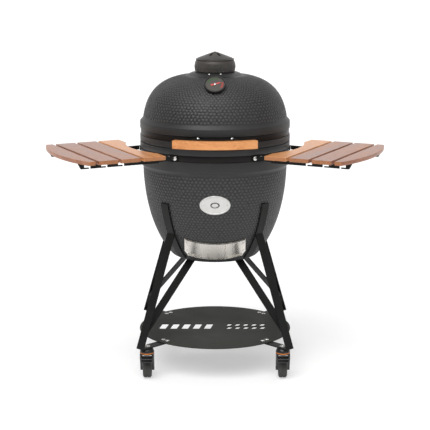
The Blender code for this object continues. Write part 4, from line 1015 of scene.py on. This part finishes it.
def makeEmblem():
    low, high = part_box("emblem_plate")
    width, tall = (high.x - low.x) / 2, (high.z - low.z) / 2
    middle = (high.z + low.z) / 2
    segments, rings = emblem["segments"], emblem["rings"]

    def heightAt(share, angle):
        edge = (1 - share) * tall
        rise = 0.0
        if edge < emblem["rimWidth"]:
            rise = emblem["rim"] * min(1, sin(pi * min(edge, emblem["rimWidth"] - edge)
                                              / emblem["rimWidth"]) * 1.6)
        if share < emblem["sunkTo"]:
            rise = -emblem["sunk"]
        if share < emblem["bossReach"]:  # a plain fluted boss
            flute = 0.5 + 0.5 * cos(angle * emblem["flutes"])
            rise = emblem["boss"] * (1 - 0.5 * flute * share / emblem["bossReach"])
        return emblem["plate"] + rise

    def onBase(x, z, out):
        radius = baseRadius(z) + out
        return (radius * sin(x / radius), -radius * cos(x / radius), z)

    points = [onBase(0, middle, heightAt(0, 0))]
    for ring in range(1, rings + 1):
        share = ring / rings
        for k in range(segments):
            angle = 2 * pi * k / segments
            x, z = width * share * cos(angle), middle + tall * share * sin(angle)
            points.append(onBase(x, z, heightAt(share, angle)))
    for k in range(segments):
        angle = 2 * pi * k / segments
        points.append(onBase(width * cos(angle), middle + tall * sin(angle), -emblem["lift"]))
    faces = [(0, 1 + k, 1 + (k + 1) % segments) for k in range(segments)]
    for ring in range(rings):
        for k in range(segments):
            here = 1 + ring * segments
            ahead = (k + 1) % segments
            faces.append((here + k, here + segments + k, here + segments + ahead, here + ahead))
    faces.append([1 + rings * segments + k for k in range(segments)][::-1])
    mesh = bpy.data.meshes.new("emblemPlate")
    mesh.from_pydata(points, [], faces)
    plate = smoothSides(newObject("emblemPlate", mesh, eggAxis), 50)
    finishPiece(plate, finishes["castAluminium"], "frame", ["emblem_plate"])
    plate.data.materials.append(finishes["emblemField"])
    for face in plate.data.polygons[segments:-1]:  # the sunk ring is darker
        share = ((face.index - segments) // segments + 1) / rings
        if emblem["bossReach"] <= share <= emblem["sunkTo"]:
            face.material_index = 1
    for side, way in (("left", -1), ("right", 1)):
        x = way * (width - emblem["screwInset"])
        spot = Vector(onBase(x, middle, emblem["plate"] + .0002)) + eggAxis
        addBolt("emblemScrew_" + side, spot, facingOut(x / baseRadius(middle)), "frame", "small")


makeEmblem()
print("draught frame and emblem made")


slats = {"length": .440, "pitch": .0848, "gap": .012, "first": .0888, "last": .072,
         "hollow": .029, "round": .0022, "foldInset": .0054}
slatTones = {
    1: dict(dark=(.44, .160, .048), middle=(.62, .260, .092), light=(.74, .350, .150)),
    2: dict(dark=(.17, .056, .026), middle=(.31, .118, .058), light=(.45, .205, .115)),
    3: dict(dark=(.16, .056, .028), middle=(.29, .112, .060), light=(.43, .195, .112)),
    4: dict(dark=(.17, .056, .026), middle=(.31, .115, .056), light=(.45, .200, .110))}


def slatOutline(number, start, roundInner):
    firstGap = start + slats["first"]
    near = firstGap + (number - 2) * slats["pitch"] + slats["gap"] / 2
    far = firstGap + (number - 1) * slats["pitch"] - slats["gap"] / 2
    half = slats["length"] / 2
    if number == 1:
        reach = asin(sqrt(roundInner ** 2 - start ** 2) / roundInner)
        hollow = arcLine(roundInner, -reach, reach, 40)
        return [(far, half), (far, -half), (start, -half)] + hollow + [(start, half)]
    if number == 4:
        outer = firstGap + 2 * slats["pitch"] + slats["last"]
        reach = asin(half / outer)
        return [(near, half), (near, -half)] + arcLine(outer, -reach, reach, 40)
    return [(near, -half), (far, -half), (far, half), (near, half)]


def makeTable(side):
    pin = pinOf(f"table_{side}_fold")
    out = pin - eggAxis
    angle = atan2(out.y, out.x)
    reach = sqrt(out.x ** 2 + out.y ** 2)
    start = reach - slats["foldInset"]
    for number in (1, 2, 3, 4):
        node = f"slat_{side}_{number}"
        low, high = heightsOf(node)
        outline = slatOutline(number, start, reach + slats["hollow"])
        mesh = plateMesh(node, [outline], low, high)
        mesh.transform(Matrix.Rotation(angle, 4, "Z"))
        slat = newObject(f"tableSlat_{side}_{number}", mesh, eggAxis)
        roundEdges(slat, slats["round"], 3)
        seed = number + (5 if side == "left" else 11)
        look = dict(slatTones[number], end=(.42, .165, .060), rough=.33, seed=seed)
        wood = woodFinish(f"slatWood_{side}_{number}", look, -angle)
        finishPiece(slat, wood, f"table_{side}", [node])
    return angle


tableAngles = {side: makeTable(side) for side in ("left", "right")}
lugBolts = {"bearing": radians(30.7), "spread": radians(2.5), "out": .0053,
            "height": (baseBandLow + baseBandHigh) / 2}
for side, angle in tableAngles.items():
    frontWay = 1 if side == "left" else -1
    for end, way in (("front", frontWay), ("rear", -frontWay)):
        for number, lean in enumerate((-1, 1), 1):
            bearing = angle + way * (lugBolts["bearing"] + lean * lugBolts["spread"]) + pi / 2
            place = roundEgg(bandRadius + lugBolts["out"], bearing, lugBolts["height"])
            addBolt(f"lugBolt_{side}_{end}_{number}", place, facingOut(bearing), "frame")
print("side tables made")


caster = {"housing": .0265, "housingHeight": .0235, "ringLow": .0040, "ringHigh": .0075,
          "plate": .0083, "inset": .0008, "cheekRound": .0105, "cheekFront": .021,
          "width": .032, "tread": .0011, "treads": 44, "hub": .021}


def makeCaster(corner):
    node = "caster_fork_" + corner
    pin = pinOf("swivel_" + corner)
    axle = pinOf("roll_" + corner)
    wheelLow, wheelHigh = heightsOf("caster_wheel_" + corner)
    wheelRadius = (wheelHigh - wheelLow) / 2
    body = "caster_" + corner
    top = heightsOf(node)[1]
    low = top - caster["housingHeight"]
    radius = caster["housing"]
    ringLow, ringHigh = low + caster["ringLow"], low + caster["ringHigh"]
    dome = [(.0008, top), (radius - .0075, top), (radius - .003, top - .004), (radius, top - .011),
            (radius, ringHigh), (radius - .0012, ringHigh), (radius - .0012, ringLow),
            (radius, ringLow),
            (radius, low), (.0008, low)]
    house = turnShape("casterHousing_" + corner, easeCorners(dome, .0016, 4), 64, "capped",
                      place=(pin.x, pin.y, 0))
    finishPiece(house, finishes["glossBlack"], body, [node])
    hoop = [(radius - .0014, ringHigh - .0002), (radius + .0003, ringHigh - .0006),
            (radius + .0003, ringLow + .0006), (radius - .0014, ringLow + .0002)]
    ring = turnShape("casterRing_" + corner, easeCorners(hoop, .0005, 2, True), 64, "joined",
                     place=(pin.x, pin.y, 0))
    finishPiece(ring, finishes["orangeRing"], body)
    trail = axle.y - pin.y
    front = -caster["cheekFront"]
    outline = [(trail + .004, low + .006 - axle.z)]
    outline += arcLine(caster["cheekRound"], radians(20), radians(-190), 20, (trail, 0))
    outline += [(front, low - .012 - axle.z), (front, low + .005 - axle.z)]
    for side, way in (("left", -1), ("right", 1)):
        mesh = plateMesh("cheek", [outline], -caster["plate"] / 2, caster["plate"] / 2)
        across = way * (radius - caster["plate"] / 2 - caster["inset"])
        cheek = newObject(f"casterCheek_{corner}_{side}", mesh, (pin.x + across, pin.y, axle.z),
                          (pi / 2, 0, pi / 2))
        roundEdges(cheek, .0016, 4)
        finishPiece(cheek, finishes["glossBlack"], body)
        place = (pin.x + way * (radius - caster["inset"]), axle.y, axle.z)
        addBolt(f"axleBolt_{corner}_{side}", place, (way, 0, 0), body, "small")
    half = caster["width"] / 2
    hub = caster["hub"]
    tyre = [(hub, half - .0022), (hub + .003, half - .0006), (wheelRadius - .006, half),
            (wheelRadius - .0015, half - .003), (wheelRadius, half - .006), (wheelRadius, .0012),
            (wheelRadius - .0015, .0006), (wheelRadius - .0015, -.0006), (wheelRadius, -.0012),
            (wheelRadius, -half + .006), (wheelRadius - .0015, -half + .003),
            (wheelRadius - .006, -half), (hub + .003, -half + .0006), (hub, -half + .0022)]
    line = easeCorners(tyre, .0008, 2, True)
    segments = caster["treads"] * 6
    angles = np.arange(segments) * 2 * pi / segments
    lift = np.zeros((len(line), segments))
    for row, (r, z) in enumerate(line):
        if r > wheelRadius - .0012:
            shift = 0.5 if z > 0 else 0.0
            blocks = np.cos(angles * caster["treads"] + shift * 2 * pi)
            lift[row] = np.where(blocks > -0.35, 0, -caster["tread"])
    tread = turnShape("casterTyre_" + corner, line, segments, "joined", lift, axle,
                      (0, pi / 2, 0), 50)
    finishPiece(tread, finishes["tyre"], "wheel_" + corner,
                ["caster_wheel_" + corner])
    disc = [(.0046, half - .001), (.009, half - .001), (.0105, half - .003), (hub - .004, half - .004),
            (hub - .002, half - .0015), (hub, half - .0020), (hub, -half + .0020),
            (hub - .002, -half + .0015), (hub - .004, -half + .004), (.0105, -half + .003),
            (.009, -half + .001), (.0046, -half + .001)]
    core = turnShape("casterHub_" + corner, easeCorners(disc, .0008, 2, True), 64, "joined",
                     place=axle, turn=(0, pi / 2, 0))
    finishPiece(core, finishes["wheelHub"], "wheel_" + corner)


# A moulded pedal that droops over the front of the wheel.
pedal = {"tail": .003, "thick": .0035, "drop": .017, "reach": .028, "lip": .0075, "gap": .0008}


def makePedal(corner):
    node = "brake_lever_" + corner
    low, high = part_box(node)
    pin = pinOf("brake_" + corner)
    half = (high.x - low.x) / 2 - pedal["gap"]
    top, front = pedal["thick"] - .0005, -pedal["reach"]
    outline = [(pedal["tail"], -.0015), (pedal["tail"], .0015), (0, top)]
    outline += [(front + .010, top - .0012), (front + .003, top - .005)]
    outline += [(front, -pedal["drop"] + .004), (front + .002, -pedal["drop"])]
    outline += [(front + pedal["lip"], -pedal["drop"] + .001), (front + .012, -.005), (0, -.003)]
    mesh = plateMesh("brakePedal", [outline], -half, half)
    lever = newObject("brakePedal_" + corner, mesh, pin, (pi / 2, 0, pi / 2))
    roundEdges(lever, .0018, 4, 20)
    finishPiece(lever, finishes["glossBlack"], "brake_" + corner, [node])


for corner in corners:
    makeCaster(corner)
    if corner.startswith("front"):
        makePedal(corner)
print("casters made")


def dressNode(name, finish, rounding=.0006):
    piece = nodes[name]
    piece.data.materials.clear()
    piece.data.materials.append(finish)
    if "custom_normal" in piece.data.attributes:
        piece.data.attributes.remove(piece.data.attributes["custom_normal"])
    join = piece.modifiers.new("join", "WELD")
    join.merge_threshold = 0.00001
    roundEdges(piece, rounding)


for name in nodes:
    if name.startswith(("leg_", "cradle_arm_", "strut_", "table_bracket_", "table_lug_")):
        dressNode(name, finishes["blackSteel"])
    elif name in ("under_ring", "hinge_base", "hinge_lid", "handle_bracket"):
        dressNode(name, finishes["blackSteel"], .0008)
dressNode("lower_shelf", finishes["shelfGrey"], .0005)
dressNode("charcoal_grate", finishes["castIron"], .0010)

trolleyBolts = {"shelfReach": .262, "apart": .011, "footPlate": .0053}
shelfTop = heightsOf("lower_shelf")[1]
for corner in corners:
    pin = pinOf("swivel_" + corner)
    out = Vector((pin.x, pin.y - eggY, 0))
    plateTop = heightsOf("caster_fork_" + corner)[1] + trolleyBolts["footPlate"]
    addBolt("footBolt_" + corner, (pin.x, pin.y, plateTop), (0, 0, 1), "frame", "large")
    out.normalize()
    across = Vector((-out.y, out.x, 0))
    for number, way in enumerate((-1, 1), 1):
        spot = eggAxis + out * trolleyBolts["shelfReach"] + across * way * trolleyBolts["apart"]
        addBolt(f"shelfBolt_{corner}_{number}", (spot.x, spot.y, shelfTop), (0, 0, 1), "frame")

hingeBolts = {"across": .036, "out": .0048}
for node, body in (("hinge_base", "frame"), ("hinge_lid", "lid")):
    low, high = heightsOf("base_band" if body == "frame" else "lid_band")
    for side, way in (("left", -1), ("right", 1)):
        place = (way * hingeBolts["across"], eggY + bandRadius + hingeBolts["out"],
                 (low + high) / 2)
        addBolt(f"hingeBolt_{body}_{side}", place, (0, 1, 0), body)
print("trolley dressed and bolted")


studio = {"floor": (.62, .62, .62), "floorReach": 90, "glow": .44,
          "skyTop": .34, "skyFront": .10, "skyBack": 1.15,
          "keyPower": 2.3, "keySpread": 50, "keyTurn": (radians(36), 0, radians(-22)),
          "fillPower": .5, "fillSpread": 70, "fillTurn": (radians(52), 0, radians(35))}


def floorFinish():
    finish, tree, shader = newFinish("paleFloor", Roughness=0.85, Specular_IOR_Level=0.1)
    mottle = noiseOf(tree, ownCoords(tree), 3, 3)
    tones = colourRun(tree, mottle, [(0.2, shade(studio["floor"], .985)), (0.8, studio["floor"])])
    tree.links.new(tones, shader.inputs["Base Color"])
    shader.inputs["Emission Color"].default_value = (1, 1, 1, 1)
    shader.inputs["Emission Strength"].default_value = studio["glow"]
    return finish


# A softbox sky: bright overhead and behind the grill, dimmer in front of it.
def skyLight():
    world = bpy.data.worlds.new("studioSky")
    world.use_nodes = True
    tree = world.node_tree
    direction = addNode(tree, "SeparateXYZ", {0: addNode(tree, "TexCoord").outputs["Generated"]})
    above = spread(tree, direction.outputs["Z"], 0.0, 0.9, 0.0, studio["skyTop"])
    around = spread(tree, direction.outputs["Y"], -0.2, 0.9, studio["skyFront"], studio["skyBack"])
    level = maths(tree, "MAXIMUM", above, around)
    tree.nodes["Background"].inputs["Color"].default_value = (1, 1, 1, 1)
    tree.links.new(level, tree.nodes["Background"].inputs["Strength"])
    bpy.context.scene.world = world


def makeStudio():
    mesh = bpy.data.meshes.new("studioFloor")
    reach = studio["floorReach"]
    square = [(-reach, -reach, 0), (reach, -reach, 0), (reach, reach, 0), (-reach, reach, 0)]
    mesh.from_pydata(square, [], [(0, 1, 2, 3)])
    floor = newObject("studioFloor", mesh)
    floor.data.materials.append(floorFinish())
    for name, power, turn, spreadAngle in (
            ("keyLight", studio["keyPower"], studio["keyTurn"], studio["keySpread"]),
            ("fillLight", studio["fillPower"], studio["fillTurn"], studio["fillSpread"])):
        light = bpy.data.lights.new(name, "SUN")
        light.energy = power
        light.angle = radians(spreadAngle)
        lamp = bpy.data.objects.new(name, light)
        lamp.rotation_euler = turn
        bpy.context.scene.collection.objects.link(lamp)
    skyLight()


view = {"back": 5.1225, "height": 1.6266, "pitch": 0.2042, "lens": 115.3, "sensor": 36}


def makeCamera():
    lens = bpy.data.cameras.new("frontView")
    lens.lens = view["lens"]
    lens.sensor_width = view["sensor"]
    lens.clip_end = 200
    camera = bpy.data.objects.new("frontView", lens)
    camera.location = (0, eggY - view["back"], view["height"])
    camera.rotation_euler = (pi / 2 - view["pitch"], 0, 0)
    bpy.context.scene.collection.objects.link(camera)
    bpy.context.scene.camera = camera
    bpy.context.scene.view_settings.view_transform = "Standard"


makeStudio()
makeCamera()
print("studio ready")
